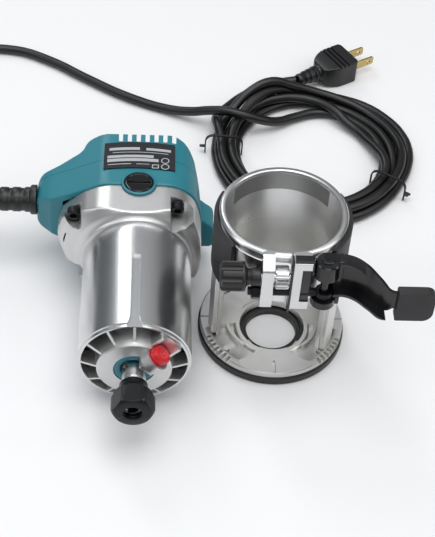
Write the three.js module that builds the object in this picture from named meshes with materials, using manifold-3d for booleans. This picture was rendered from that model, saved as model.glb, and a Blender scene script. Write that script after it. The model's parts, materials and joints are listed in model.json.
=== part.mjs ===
// Trim router: the motor unit lies on its side with its collet to the front (-Y), and the round
// trim base stands on its sole beside it. The mains cord leaves the motor to the left, loops round
// and ends in a loose coil behind the base, with the plug beyond it.
// Units are millimetres, +Z is up. Each mesh is one physical piece.
import * as THREE from "three";
import { mergeVertices } from "three/addons/utils/BufferGeometryUtils.js";
import Module from "manifold-3d";

const wasm = await Module();
wasm.setup();

// ---------------------------------------------------------------- driving dimensions
// Where the two units stand: x and y of the motor's front rim centre, and of the base's centre.
const MOTOR_AT = { x: -27.1, y: -58, axisHeight: 36 };
const BASE_AT = { x: 55.3, y: 1.3 };

// Motor unit, in its own frame: x to the right, y to the rear from the front rim, z up from the axis.
const BARREL = { radius: 32.4, bore: 29.7, length: 81 };
const BELL = { front: 81, back: 106 };
const RING = { front: 106.3, back: 127.9 };
const COVER = { front: 128.2, back: 152 };
const TOP = 38;
const BOTTOM = -36;
const WALL = 3;
const GAP = 0.3;
const RIB_COUNT = 12;
const HUB = { front: -5, back: 9, radius: 21.3, bearingBore: 13.1, shaftBore: 7.8 };
const KEYWAY = { halfWidth: 2.5, depth: 1, end: 54, flare: 5 };
const RACK = { halfWidth: 3.5, front: 8, back: 62, root: -30.6, tip: -32.2, pitch: 3 };
const LOCK = { angle: (46 * Math.PI) / 180, y: -6.6 };
const BRUSH = { y: 107, cap: 8.6, collar: 10.4 };
const ROCKER = { x: 45, y: 118.2, z: -8.5, halfLength: 5.4, halfHeight: 6.2 };
const GUARD = { y: 119.5, z: 11, radius: 7.8, from: -62.6, to: -108.5, bore: 3.9 };
const SCREWS = [
  { x: 23.5, z: 30.6 },
  { x: -38.5, z: 24.6 },
  { x: -37, z: -12 },
  { x: 29, z: -21.5 },
];
const SCREW_HEAD = { radius: 3.8, front: 92, back: 97 };
const VENT = { count: 7, pitch: 5.5, width: 2.4, first: -13.2, depth: 5, front: 144 };

// Collet and nut.
const NUT = { neck: 8, flats: 21.4, round: 12.2, front: -36, back: -16 };
const COLLET = { front: -32.8, back: -17, bore: 3.2 };

// Trim base, in its own frame: origin on the table under the sleeve's axis, y to the rear.
const SLEEVE = { bore: 32.5, radius: 36.3, bottom: 64, top: 101.5 };
const FOOT = { radius: 43.6, bottom: 6, top: 10, opening: 19.6, openingY: -6 };
const SUB_BASE = { radius: 44.5, thickness: 5.7, hole: 15.3, holeY: -3.9 };
const FOOT_SCREWS = { circle: 36.8, angles: [40, 140, 220, 320] };
const SLIT = { x: 2.6, width: 1.6 };
const LUG = { front: -42.5, bottom: 63.5, left: [-13.5, -6.8], right: [3.5, 13.4] };
const PINION = { y: -38.5, z: 87, radius: 6.8, teeth: 12, left: -6, right: 1.4 };
const KNOB = { radius: 8.4, left: -36.5, right: -22.4, neck: 5.2, neckEnd: -14 };
const BOLT = { y: -39.4, z: 76.6, radius: 2.5 };
const PIVOT = { x: 21.8, y: BOLT.y, pin: 2.5, knuckle: 7, bottom: 68.5, top: 102 };
// The lever's centre line seen from above, relative to its pivot, and its channel section.
const LEVER_PATH = [[4, 3.4], [12, 3.6], [20, 0], [28, -8], [34.5, -14.8], [40.5, -15.6]];
const LEVER = { web: 2.2, mid: 88.5, flange: 6, flangeThickness: 1.8 };
const TIP = { left: 37.5, right: 58.5, bottom: 75.5, top: 96.4, front: -19.2, rear: -12.6 };
const GRIP = { inner: 36.6, outer: 39.4, bottom: 59, top: 97 };

// Mains cord.
const CORD = { radius: 3.3, floor: 3.7 };
const COIL = { x: 90, y: 158, radius: 60, halfWidth: 12, height: 15 };

// ---------------------------------------------------------------- colours
const paint = (color, roughness, metalness = 0) =>
  new THREE.MeshStandardMaterial({ color, roughness, metalness });
const aluminium = paint("#b9bab9", 0.32, 1);
const castAluminium = paint("#aeafad", 0.45, 1);
const steel = paint("#9a9b9d", 0.3, 1);
const blackSteel = paint("#1d1e20", 0.42, 0.6);
const teal = paint("#15718a", 0.42);
const blackPlastic = paint("#151617", 0.45);
const redPlastic = paint("#c4161f", 0.35);
const labelBlack = paint("#101113", 0.5);
const copper = paint("#a85c2e", 0.35, 1);
const brass = paint("#b8954a", 0.35, 1);
const carbon = paint("#26272a", 0.8);
const rubber = paint("#121314", 0.55);

// ---------------------------------------------------------------- solids
const ROUND = 36;
const MEDIUM = 24;
const SMALL = 14;
const FINE = 8;

function toSolid(geometry) {
  const bare = geometry.index ? geometry.toNonIndexed() : geometry.clone();
  bare.deleteAttribute("normal");
  bare.deleteAttribute("uv");
  const merged = mergeVertices(bare, 1e-4);
  return new wasm.Manifold(
    new wasm.Mesh({
      numProp: 3,
      vertProperties: merged.attributes.position.array,
      triVerts: new Uint32Array(merged.index.array),
    }),
  );
}

function toGeometry(solid) {
  const mesh = solid.getMesh();
  const geometry = new THREE.BufferGeometry();
  geometry.setAttribute("position", new THREE.BufferAttribute(mesh.vertProperties, 3));
  geometry.setIndex(new THREE.BufferAttribute(mesh.triVerts, 1));
  geometry.computeVertexNormals();
  return geometry;
}

const join = (...solids) => solids.reduce((whole, next) => whole.add(next));
const cut = (body, ...tools) => tools.reduce((rest, tool) => rest.subtract(tool), body);
const common = (...solids) => solids.reduce((whole, next) => whole.intersect(next));

function box(x0, x1, y0, y1, z0, z1) {
  const geometry = new THREE.BoxGeometry(x1 - x0, y1 - y0, z1 - z0);
  return toSolid(geometry.translate((x0 + x1) / 2, (y0 + y1) / 2, (z0 + z1) / 2));
}

// Turns a geometry made about the Y axis so that it runs along the named axis.
function alongAxis(geometry, axis) {
  if (axis === "x") geometry.rotateZ(-Math.PI / 2);
  if (axis === "z") geometry.rotateX(Math.PI / 2);
  return geometry;
}

// A turned piece. The profile lists [radius, station] and either meets the axis or is closed here.
function turned(profile, axis, segments = MEDIUM) {
  const area = profile.reduce((sum, [r, h], i) => {
    const [nextR, nextH] = profile[(i + 1) % profile.length];
    return sum + r * nextH - nextR * h;
  }, 0);
  const ordered = area > 0 ? profile : [...profile].reverse();
  const points = ordered.map(([r, h]) => new THREE.Vector2(r, h));
  if (profile.every(([r]) => r > 0)) points.push(points[0].clone());
  return toSolid(alongAxis(new THREE.LatheGeometry(points, segments), axis));
}

const disc = (radius, from, to, axis, segments = MEDIUM) =>
  turned([[0, from], [radius, from], [radius, to], [0, to]], axis, segments);
const ring = (inner, outer, from, to, axis, segments = MEDIUM) =>
  turned([[inner, from], [outer, from], [outer, to], [inner, to]], axis, segments);

// A cylinder from one point to another.
function rod(radius, from, to, segments = SMALL) {
  const start = new THREE.Vector3(...from);
  const end = new THREE.Vector3(...to);
  const along = end.clone().sub(start);
  const geometry = new THREE.CylinderGeometry(radius, radius, along.length(), segments);
  geometry.applyQuaternion(
    new THREE.Quaternion().setFromUnitVectors(new THREE.Vector3(0, 1, 0), along.clone().normalize()),
  );
  const middle = start.add(end).multiplyScalar(0.5);
  return toSolid(geometry.translate(middle.x, middle.y, middle.z));
}

// A closed outline from corners [a, b, fillet], each fillet kept under half its shorter edge.
function outline(corners) {
  const shape = new THREE.Shape();
  corners.forEach(([a, b, wanted = 0], i) => {
    const corner = new THREE.Vector2(a, b);
    const [beforeA, beforeB] = corners[(i + corners.length - 1) % corners.length];
    const [afterA, afterB] = corners[(i + 1) % corners.length];
    const back = new THREE.Vector2(beforeA, beforeB).sub(corner);
    const ahead = new THREE.Vector2(afterA, afterB).sub(corner);
    const fillet = Math.min(wanted, 0.45 * back.length(), 0.45 * ahead.length());
    back.normalize();
    ahead.normalize();
    const start = corner.clone().addScaledVector(back, fillet);
    const end = corner.clone().addScaledVector(ahead, fillet);
    if (i === 0) shape.moveTo(start.x, start.y);
    else shape.lineTo(start.x, start.y);
    if (fillet) shape.quadraticCurveTo(corner.x, corner.y, end.x, end.y);
  });
  shape.closePath();
  return shape;
}

// An outline extruded along an axis. Its two coordinates are (y, z), (x, z) or (x, y).
function prism(shape, axis, from, to, curveSegments = 3) {
  const depth = to - from;
  const geometry = new THREE.ExtrudeGeometry(shape, { depth, bevelEnabled: false, curveSegments });
  if (axis === "z") geometry.translate(0, 0, from);
  if (axis === "y") geometry.rotateX(Math.PI / 2).translate(0, to, 0);
  if (axis === "x") {
    const basis = new THREE.Matrix4().makeBasis(
      new THREE.Vector3(0, 1, 0),
      new THREE.Vector3(0, 0, 1),
      new THREE.Vector3(1, 0, 0),
    );
    geometry.applyMatrix4(basis).translate(from, 0, 0);
  }
  return toSolid(geometry);
}

// The same corners moved inwards by a distance (corners listed clockwise).
function inset(corners, distance) {
  return corners.map(([a, b, fillet = 0], i) => {
    const [beforeA, beforeB] = corners[(i + corners.length - 1) % corners.length];
    const [afterA, afterB] = corners[(i + 1) % corners.length];
    const first = new THREE.Vector2(a - beforeA, b - beforeB).normalize();
    const second = new THREE.Vector2(afterA - a, afterB - b).normalize();
    const inward = new THREE.Vector2(first.y + second.y, -first.x - second.x).normalize();
    const reach = distance / Math.max(0.5, inward.dot(new THREE.Vector2(first.y, -first.x)));
    return [a + inward.x * reach, b + inward.y * reach, Math.max(0, fillet - distance / 2)];
  });
}

// A sector of a ring about Z, between two angles in degrees, faceted like the round pieces.
function sector(inner, outer, bottom, top, fromDegrees, toDegrees) {
  const from = THREE.MathUtils.degToRad(fromDegrees);
  const to = THREE.MathUtils.degToRad(toDegrees);
  const shape = new THREE.Shape();
  shape.absarc(0, 0, outer, from, to, false);
  shape.absarc(0, 0, inner, to, from, true);
  shape.closePath();
  const segments = Math.max(1, Math.round(((toDegrees - fromDegrees) / 360) * ROUND));
  return prism(shape, "z", bottom, top, segments);
}

const polar = (radius, degrees) => {
  const angle = THREE.MathUtils.degToRad(degrees);
  return [radius * Math.cos(angle), radius * Math.sin(angle)];
};

const around = (count, make) => Array.from({ length: count }, (_, i) => make(i));

function add(group, name, solid, material) {
  const mesh = new THREE.Mesh(toGeometry(solid), material);
  mesh.name = name;
  group.add(mesh);
}

// ---------------------------------------------------------------- motor unit
const motor = new THREE.Group();
motor.position.set(MOTOR_AT.x, MOTOR_AT.y, MOTOR_AT.axisHeight);

// Sections across the axis, clockwise from the top left: [x, z, fillet].
const BELL_SECTION = [
  [-21, TOP, 5], [20, TOP, 5], [31.5, 32.5, 7], [38.5, 15, 9], [38.5, -9, 9], [33, -27, 6],
  [14, BOTTOM, 8], [-14, BOTTOM, 8], [-31, -26, 9], [-45, -6, 12], [-49, 8, 8], [-45.5, 21, 8], [-33, 32, 8],
];
const REAR_SECTION = [
  [-21, TOP + 0.4, 5], [20, TOP + 0.4, 5], [32, 33, 7], [39, 15, 9], [39, -9, 9], [33, -27, 6],
  [14, BOTTOM + 0.4, 8], [-14, BOTTOM + 0.4, 8], [-33, -24, 9], [-48, -7, 8], [-60, -3, 4], [-62.3, 1, 3],
  [-62.3, 18, 4], [-57, 22.5, 4], [-35, 32, 8],
];
// Outline seen from above, clockwise from the rear left: [x, y, fillet].
const REAR_PLAN = [
  [-28, COVER.back, 5], [25, COVER.back, 6], [33, 144, 6], [37.5, 124, 10], [39.2, 106, 0], [-48, 106, 0],
  [-56, 108.5, 4], [-62.5, 111, 3], [-62.5, 132, 5], [-50, 135, 4], [-35, 142, 4], [-33, 149, 4],
];

function housingScrew({ x, z }) {
  const { radius, front, back } = SCREW_HEAD;
  const head = disc(radius, front, back, "y", SMALL).translate([x, 0, z]);
  const shank = disc(1.9, back - 0.5, 120, "y", FINE).translate([x, 0, z]);
  const socket = disc(2, front - 1, front + 3, "y", 6).translate([x, 0, z]);
  return cut(join(head, shank), socket);
}

function screwPost({ x, z }, from, to) {
  return disc(5.4, from, to, "y", SMALL).translate([x, 0, z]);
}

function barrelAndHub() {
  const { radius, bore, length } = BARREL;
  const tube = ring(bore, radius, 0, length + 1, "y", ROUND);
  const hub = turned(
    [
      [HUB.shaftBore, HUB.front + 2.6], [11.8, HUB.front + 2.6], [11.8, HUB.front], [HUB.radius, HUB.front],
      [HUB.radius + 1.4, HUB.front + 1.5], [HUB.radius + 1.8, HUB.back + 2], [HUB.bearingBore, HUB.back + 2],
      [HUB.bearingBore, 2], [HUB.shaftBore, 2],
    ],
    "y",
  );
  const ribs = around(RIB_COUNT, (i) => {
    const profile = outline([
      [HUB.radius - 0.5, -2.5], [bore + 0.8, 0.6], [bore + 0.8, 8], [HUB.radius - 0.5, 8],
    ]);
    const rib = prism(profile, "z", -1, 1);
    return rib.rotate([0, (i * 360) / RIB_COUNT, 0]);
  });
  const keyway = join(
    box(-KEYWAY.halfWidth, KEYWAY.halfWidth, -1, KEYWAY.end, radius - KEYWAY.depth, radius + 1),
    prism(
      outline([[-KEYWAY.halfWidth, 6], [KEYWAY.halfWidth, 6], [KEYWAY.flare, -1], [-KEYWAY.flare, -1]]),
      "z",
      radius - KEYWAY.depth,
      radius + 1,
    ),
  );
  const half = RACK.halfWidth + GAP;
  const rackSeat = box(-half, half, RACK.front - GAP, RACK.back + GAP, -radius - 1, RACK.root - 0.3);
  return cut(join(tube, hub, ...ribs), keyway, rackSeat);
}

// The boss beside the spindle that guides the lock pin, and the pocket of its button.
function lockGuide() {
  const land = box(8.4, 11.2, -5.6, 5.6, -5.4, 1.3);
  const foot = box(8.4, 14.5, -5.6, 5.6, -1, 1.3);
  const root = box(12.2, 14.5, -5.6, 5.6, -1, 5.4);
  return placeLock(join(land, foot, root));
}

// Moves a solid made about the X axis onto the lock's radial axis, which points outwards.
function placeLock(solid) {
  const degrees = THREE.MathUtils.radToDeg(LOCK.angle);
  return solid.rotate([-90, 0, 0]).rotate([0, -degrees, 0]).translate([0, LOCK.y, 0]);
}

function bell() {
  const outer = prism(outline(BELL_SECTION), "y", BELL.front, BELL.back);
  const cavity = prism(outline(inset(BELL_SECTION, WALL)), "y", BELL.front + WALL, BELL.back + 1);
  const shell = cut(outer, cavity);
  const pocketBlocks = join(
    box(15, 40, BELL.front, BELL.back, 21, 40),
    box(-50, -30.5, BELL.front, BELL.back, 13, 34),
    box(-50, -30.5, BELL.front, BELL.back, -21, -3.5),
    box(21, 40, BELL.front, BELL.back, -36, -13.5),
  );
  const solid = join(shell, common(outer, pocketBlocks));
  const { back } = SCREW_HEAD;
  const pocket = (corners) => prism(outline(corners), "y", BELL.front - 1, back + GAP);
  const pockets = [
    pocket([[19.4, 42, 0], [40, 42, 0], [34, 31, 3], [27, 26, 3], [19.4, 25, 2]]),
    pocket([[-46, 38, 0], [-34.5, 38, 0], [-34.2, 20, 2], [-41, 19.6, 4], [-52, 30, 0]]),
    pocket([[-52, -8, 0], [-33, -6.5, 2], [-31.6, -15, 2], [-37, -20, 0], [-52, -20, 0]]),
    pocket([[40, -17, 0], [26, -16.4, 2], [24.4, -24, 2], [30, -38, 0], [40, -38, 0]]),
  ];
  return cut(solid, ...pockets);
}

function motorHousing() {
  const opening = disc(BARREL.bore, BELL.front - 1, BELL.back + 1, "y", ROUND);
  const shank = disc(2.2, 90, BELL.back + 1, "y", FINE);
  const shankHoles = SCREWS.map(({ x, z }) => shank.translate([x, 0, z]));
  const seats = [1, -1].map((side) =>
    disc(BRUSH.collar + GAP, 26, 50, "z")
      .rotate([side > 0 ? 0 : 180, 0, 0])
      .translate([0, BRUSH.y, 0]),
  );
  const buttonPocket = placeLock(disc(6.4, 14.4, 30, "x", 24));
  const pinHole = placeLock(disc(2.3, 5, 16, "x", FINE));
  const springSeat = placeLock(disc(4.5, 11.3, 16, "x", SMALL));
  const front = join(cut(barrelAndHub(), buttonPocket), lockGuide());
  const shaftWay = disc(HUB.shaftBore, -20, 12, "y");
  const barrelEnd = cut(front, pinHole, springSeat, shaftWay);
  return cut(join(barrelEnd, cut(bell(), opening)), ...shankHoles, ...seats);
}

function rack() {
  const { halfWidth, front, back, root, tip, pitch } = RACK;
  const teeth = around(Math.floor((back - front) / pitch), (i) => {
    const y = front + 0.4 + i * pitch;
    return [[y, root], [y + 0.7, tip], [y + 1.5, tip], [y + 2.2, root]];
  }).flat();
  const shape = new THREE.Shape();
  shape.moveTo(front, root + 0.05);
  shape.lineTo(front, root - 0.05);
  teeth.forEach(([y, z]) => shape.lineTo(y, z));
  shape.lineTo(back, root - 0.05);
  shape.lineTo(back, root + 0.05);
  return prism(shape, "x", -halfWidth, halfWidth).translate([0, 0, -0.4]);
}

function rearShell(from, to, frontWall) {
  const plan = outline(REAR_PLAN);
  const outer = common(prism(outline(REAR_SECTION), "y", from, to), prism(plan, "z", -60, 60));
  const innerPlan = prism(outline(inset(REAR_PLAN, WALL)), "z", -60, 60);
  const cavityEnds = frontWall ? [from - 20, to + 20] : [from - 20, to - WALL];
  const inner = prism(outline(inset(REAR_SECTION, WALL)), "y", ...cavityEnds);
  return { outer, cavity: frontWall ? inner : common(inner, innerPlan) };
}

function brushHousing() {
  const { outer } = rearShell(RING.front, RING.back, true);
  const plan = prism(
    outline([
      [-59, 200, 0], [60, 200, 0], [36, 130, 0], [36.4, 100, 0],
      [-45, 100, 0], [-46.5, 111.5, 0], [-59, 113, 0],
    ]),
    "z",
    -60,
    60,
  );
  const inside = prism(outline(inset(REAR_SECTION, WALL)), "y", RING.front - 1, RING.back + 1);
  const cavity = common(inside, plan);
  const posts = SCREWS.map((place) => common(outer, screwPost(place, RING.front, 124)));
  const bearingBridge = join(disc(13.6, 118.5, 127.5, "y"), box(-50, 38, 120, 127.5, -3.5, 3.5));
  const collars = [1, -1].map((side) => {
    const collar = disc(BRUSH.collar, 28, side > 0 ? TOP + 1.8 : 35.6, "z");
    return collar.rotate([side > 0 ? 0 : 180, 0, 0]).translate([0, BRUSH.y, 0]);
  });
  const capHoles = [1, -1].map((side) => {
    const seat = join(disc(BRUSH.cap + GAP, 31, 50, "z"), disc(6.6, 20, 40, "z", 24));
    return seat.rotate([side > 0 ? 0 : 180, 0, 0]).translate([0, BRUSH.y, 0]);
  });
  const switchBulge = common(
    box(30, 50, 110, RING.back, -18, 8),
    prism(outline([[30, 8, 0], [37, 8, 0], [47, -0.5, 4], [47, -17, 4], [30, -18, 0]]), "y", 100, 140),
  );
  const walls = join(cut(outer, cavity), ...posts, common(join(outer, switchBulge), bearingBridge));
  const shell = join(walls, switchBulge, ...collars);
  const shankHoles = SCREWS.map(({ x, z }) => disc(2.2, 100, 122, "y", FINE).translate([x, 0, z]));
  const { y, z } = GUARD;
  const cordHole = disc(4.4, -70, -40, "x", SMALL).translate([0, y, z]);
  const clampSeat = box(-57, -45.5, y - 7.5, y + 6, z - 11, z + 7.5);
  const switchSeat = box(20, 50, 111.5, 124.9, -15.3, -1.7);
  const bearingSeat = join(disc(10.2, 118, 124.6, "y"), disc(6.5, 118, 130, "y"));
  const plateSeat = prism(platePlan(GAP), "z", TOP - 2.2, TOP + 5);
  return cut(shell, ...capHoles, ...shankHoles, cordHole, clampSeat, switchSeat, bearingSeat, plateSeat);
}

// The nameplate's tongue seen from above, with its bowed front and rear edges.
function platePlan(margin) {
  const half = 20.5 + margin;
  const shape = new THREE.Shape();
  shape.moveTo(-half, 141 + margin);
  shape.quadraticCurveTo(0, 145 + margin, half, 141 + margin);
  shape.lineTo(half, 118.5 - margin);
  shape.quadraticCurveTo(0, 115 - margin, -half, 118.5 - margin);
  shape.closePath();
  return shape;
}

function topCover() {
  const { outer, cavity } = rearShell(COVER.front, COVER.back, false);
  const shell = cut(outer, cavity);
  const tongueOuter = common(
    prism(platePlan(0), "z", TOP - 1.9, TOP + 0.4),
    prism(outline(REAR_SECTION), "y", RING.front, COVER.back),
  );
  const vents = around(VENT.count, (i) => {
    const x = VENT.first + i * VENT.pitch;
    return box(x, x + VENT.width, VENT.front + 2, COVER.back + 1, TOP - VENT.depth, TOP + 2);
  });
  const rearVents = around(6, (i) => {
    const x = -18 + i * 7;
    return box(x, x + 3.5, COVER.back - 6, COVER.back + 1, -22, 14);
  });
  const topEdge = prism(
    outline([
      [140, 50, 0], [160, 50, 0], [160, 20, 0], [COVER.back, 33.5, 3], [147.5, 38.6, 2], [140, 38.6, 0],
    ]),
    "x",
    -60,
    60,
  );
  return cut(join(cut(shell, topEdge), tongueOuter), ...vents, ...rearVents);
}

function brushCap(side) {
  const top = side > 0 ? TOP + 2.6 : 35.2;
  const cap = join(disc(BRUSH.cap, 31.4, top, "z"), disc(6.2, 26, 32, "z", SMALL));
  const slotted = cut(cap, box(-1, 1, -BRUSH.cap - 1, BRUSH.cap + 1, top - 1.6, top + 1));
  return slotted.rotate([side > 0 ? 0 : 180, 0, 0]).translate([0, BRUSH.y, 0]);
}

function brushHolder(side) {
  const sleeve = cut(box(-4.2, 4.2, -5, 5, 14, 25.4), box(-2.9, 2.9, -3.7, 3.7, 13, 27));
  return sleeve.rotate([side > 0 ? 0 : 180, 0, 0]).translate([0, BRUSH.y, 0]);
}

function brush(side) {
  return box(-2.5, 2.5, -3.3, 3.3, 12.4, 24.6)
    .rotate([side > 0 ? 0 : 180, 0, 0])
    .translate([0, BRUSH.y, 0]);
}

// Rubber sleeve of the cord with its moulded rings; its flange sits on the cord box.
function cordGuard() {
  const { y, z, radius, from, to, bore } = GUARD;
  const rings = around(5, (i) => [-70 - i * 8, -73 - i * 8]);
  const profile = [[bore, from], [radius + 1.6, from], [radius + 1.6, from - 2.5], [radius, from - 3]];
  rings.forEach(([start, end]) => {
    profile.push([radius, start], [radius - 0.8, start - 0.6], [radius - 0.8, end]);
  });
  profile.push([radius - 0.8, to + 1], [radius - 1.6, to], [bore, to]);
  return turned(profile, "x", 18).translate([0, y, z]);
}

function spindle() {
  const { y, angle } = LOCK;
  const body = turned(
    [
      [0, -13], [4.4, -13], [4.6, -16], [5.2, -24.5], [6.3, -24.5], [6.3, -14.6], [6.8, -14],
      [6.8, 1.9], [5, 1.9], [5, 11], [5.6, 11.4], [5.6, 26], [6, 26.4], [6, 92], [5, 92.4],
      [5, 117.8], [4, 118.2], [4, 126.4], [0, 126.4],
    ],
    "y",
    20,
  );
  const crossHoles = [angle, angle + Math.PI / 2].map((turn) => {
    const reach = [9 * Math.cos(turn), 9 * Math.sin(turn)];
    return rod(2.5, [-reach[0], y, -reach[1]], [reach[0], y, reach[1]], FINE);
  });
  return cut(body, ...crossHoles);
}

function armatureCore() {
  const slots = around(12, (i) => box(-1, 1, 29, 77, 14.5, 19).rotate([0, i * 30, 0]));
  return cut(ring(6.3, 17.6, 30, 76, "y"), ...slots);
}

function commutator() {
  const slots = around(12, (i) => box(-0.4, 0.4, 100, 117, 10.6, 12.5).rotate([0, i * 30, 0]));
  return cut(join(ring(5.3, 11.6, 99, 115, "y", 24), ring(5.3, 12.6, 96.5, 99.5, "y", 24)), ...slots);
}

function fan() {
  const blades = around(11, (i) => box(-0.7, 0.7, 15.5, 23, 11, 26.6).rotate([0, (i * 360) / 11, 0]));
  return join(ring(5.9, 27, 13.6, 15.6, "y"), ring(5.9, 12, 13.6, 24, "y"), ...blades);
}

function stator() {
  const stack = ring(18.4, 29.3, 31, 75, "y");
  const flats = [box(27, 35, 20, 90, -40, 40), box(-35, -27, 20, 90, -40, 40)];
  return cut(stack, ...flats);
}

function colletNut() {
  const { neck, flats, round, front, back } = NUT;
  const body = turned(
    [
      [7, back], [neck, back], [neck, back - 3], [round, -25.5], [round, front + 2], [round - 2, front],
      [5.2, front], [5.2, front + 2.6], [7, front + 2.6],
    ],
    "y",
    30,
  );
  const hexRadius = flats / 2 / Math.cos(Math.PI / 6);
  const hex = disc(hexRadius, -60, 0, "y", 6);
  return common(body, hex);
}

function collet() {
  const { front, back, bore } = COLLET;
  const cone = turned(
    [[bore, front], [5.9, front], [6.2, front + 0.6], [6.2, -28.4], [5.2, -27.4], [4.2, back], [bore, back]],
    "y",
    24,
  );
  const slots = around(3, (i) => box(-0.4, 0.4, front - 1, back - 4, -8, 0).rotate([0, i * 120 + 30, 0]));
  return cut(cone, ...slots);
}

function lockButton() {
  const dimple = turned([[0, 22.4], [1.6, 23.2], [1.6, 25], [0, 25]], "x", FINE);
  const body = turned(
    [[0, 15.5], [3.9, 15.5], [3.9, 18.4], [5.7, 18.4], [5.7, 22.4], [4.9, 23.2], [0, 23.2]],
    "x",
    SMALL,
  );
  return placeLock(cut(body, dimple));
}

function lockSpring() {
  const turns = 3;
  const points = around(turns * 8 + 1, (i) => {
    const angle = (i / 8) * 2 * Math.PI;
    return new THREE.Vector3(11.9 + (i / (turns * 8)) * 2.8, 3.6 * Math.cos(angle), 3.6 * Math.sin(angle));
  });
  return placeLock(tube(points, 0.4, 5, turns * 9));
}

// A round-sectioned tube along a smooth curve through the points.
function tube(points, radius, sides, steps) {
  const path = new THREE.CatmullRomCurve3(points, false, "centripetal");
  const section = new THREE.Shape();
  around(sides, (i) => {
    const angle = (i / sides) * 2 * Math.PI;
    const at = [radius * Math.cos(angle), radius * Math.sin(angle)];
    if (i === 0) section.moveTo(...at);
    else section.lineTo(...at);
  });
  section.closePath();
  return toSolid(new THREE.ExtrudeGeometry(section, { steps, extrudePath: path, bevelEnabled: false }));
}

function switchBody() {
  const body = box(24, 41.6, 111.9, 124.5, -14.9, -2.1);
  return join(body, box(20, 25, 114, 118, -12, -9), box(20, 25, 114, 118, -7, -4));
}

function switchRocker() {
  const { x, y, z, halfLength, halfHeight } = ROCKER;
  const shape = outline([
    [x - 2, y - halfLength, 0], [x + 2.2, y - halfLength - 0.2, 1], [x + 1.2, y, 3],
    [x + 2.2, y + halfLength + 0.2, 1], [x - 2, y + halfLength, 0],
  ]);
  return prism(shape, "z", z - halfHeight, z + halfHeight);
}

add(motor, "motor_housing", motorHousing(), aluminium);
add(motor, "rack", rack(), steel);
add(motor, "brush_housing", brushHousing(), teal);
add(motor, "top_cover", topCover(), teal);
add(motor, "nameplate", prism(platePlan(-0.6), "z", TOP + 0.7, TOP + 1.3), labelBlack);
add(motor, "brush_cap_upper", brushCap(1), blackPlastic);
add(motor, "brush_cap_lower", brushCap(-1), blackPlastic);
add(motor, "brush_holder_upper", brushHolder(1), brass);
add(motor, "brush_holder_lower", brushHolder(-1), brass);
add(motor, "brush_upper", brush(1), carbon);
add(motor, "brush_lower", brush(-1), carbon);
SCREWS.forEach((place, i) => add(motor, "housing_screw_" + (i + 1), housingScrew(place), blackSteel));
add(motor, "stator", stator(), steel);
add(motor, "front_bearing", ring(5.2, 12.9, 2.3, 10.4, "y", 32), steel);
add(motor, "rear_bearing", ring(4.2, 10, 118.6, 124.3, "y", 32), steel);
add(motor, "bearing_seal", ring(8, 11.5, HUB.front + 0.5, HUB.front + 2.3, "y", 40), teal);
add(motor, "cord_guard", cordGuard(), rubber);
add(
  motor,
  "cord_clamp",
  box(-56.4, -46.2, GUARD.y - 6.8, GUARD.y + 5.4, GUARD.z - 10.4, GUARD.z - 5),
  blackPlastic,
);
add(motor, "switch_body", switchBody(), blackPlastic);
add(motor, "switch_rocker", switchRocker(), blackPlastic);
add(motor, "armature_shaft", spindle(), steel);
add(motor, "armature_core", armatureCore(), steel);
add(motor, "commutator", commutator(), copper);
add(motor, "fan", fan(), blackPlastic);
add(motor, "collet", collet(), steel);
add(motor, "collet_nut", colletNut(), blackSteel);
add(motor, "lock_button", lockButton(), redPlastic);
add(motor, "lock_pin", placeLock(disc(2, 7.9, 15.2, "x", FINE)), steel);
add(motor, "lock_spring", lockSpring(), steel);

// ---------------------------------------------------------------- trim base
const trimBase = new THREE.Group();
trimBase.position.set(BASE_AT.x, BASE_AT.y, 0);

function lugs() {
  const left = prism(
    outline([
      [-33, SLEEVE.top, 0], [-36, SLEEVE.top, 0], [LUG.front, 94, 1.5], [LUG.front, LUG.bottom, 3],
      [-33, LUG.bottom, 0],
    ]),
    "x",
    ...LUG.left,
  );
  const right = prism(
    outline([
      [-33, SLEEVE.top, 0], [LUG.front, SLEEVE.top, 1], [LUG.front, LUG.bottom, 2], [-33, LUG.bottom, 0],
    ]),
    "x",
    ...LUG.right,
  );
  const recess = box(8.6, 14, LUG.front - 1, LUG.front + 3.4, 72.4, 96.6);
  return [left, cut(right, recess)];
}

function footPlate() {
  const { radius, bottom, top, opening, openingY } = FOOT;
  const plate = join(
    ring(40.2, radius, bottom, top, "z", ROUND),
    disc(41, bottom, 7.6, "z", ROUND),
    disc(opening + 2.4, bottom, top, "z", ROUND).translate([0, openingY, 0]),
  );
  const hole = disc(opening, bottom - 1, top + 1, "z", ROUND).translate([0, openingY, 0]);
  const pads = [
    sector(20, 41, bottom, top + 0.6, 250, 290),
    sector(20, 41, bottom, top, 150, 200),
    sector(20, 41, bottom, top, -40, 30),
    sector(20, 41, bottom, top, 70, 110),
  ];
  const serrations = around(6, (i) => [204 + i * 5.4, 336 - i * 5.4]).flat();
  const notches = serrations.map((degrees) => {
    const [x, y] = polar(radius + 0.6, degrees);
    return disc(1.25, bottom - 1, top + 2, "z", 6).translate([x, y, 0]);
  });
  const ticks = [180, 270, 0].map((degrees) =>
    box(33.5, 43, -0.7, 0.7, top - 0.2, top + 3).rotate([0, 0, degrees]),
  );
  const tabs = [225, 315].map((degrees) => {
    const [x, y] = polar(opening, degrees);
    return box(x - 1.8, x + 1.8, y + openingY - 2.4, y + openingY + 2.4, bottom, 8.6);
  });
  return cut(join(cut(join(plate, ...pads), hole), ...tabs), ...notches, ...ticks);
}

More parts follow.
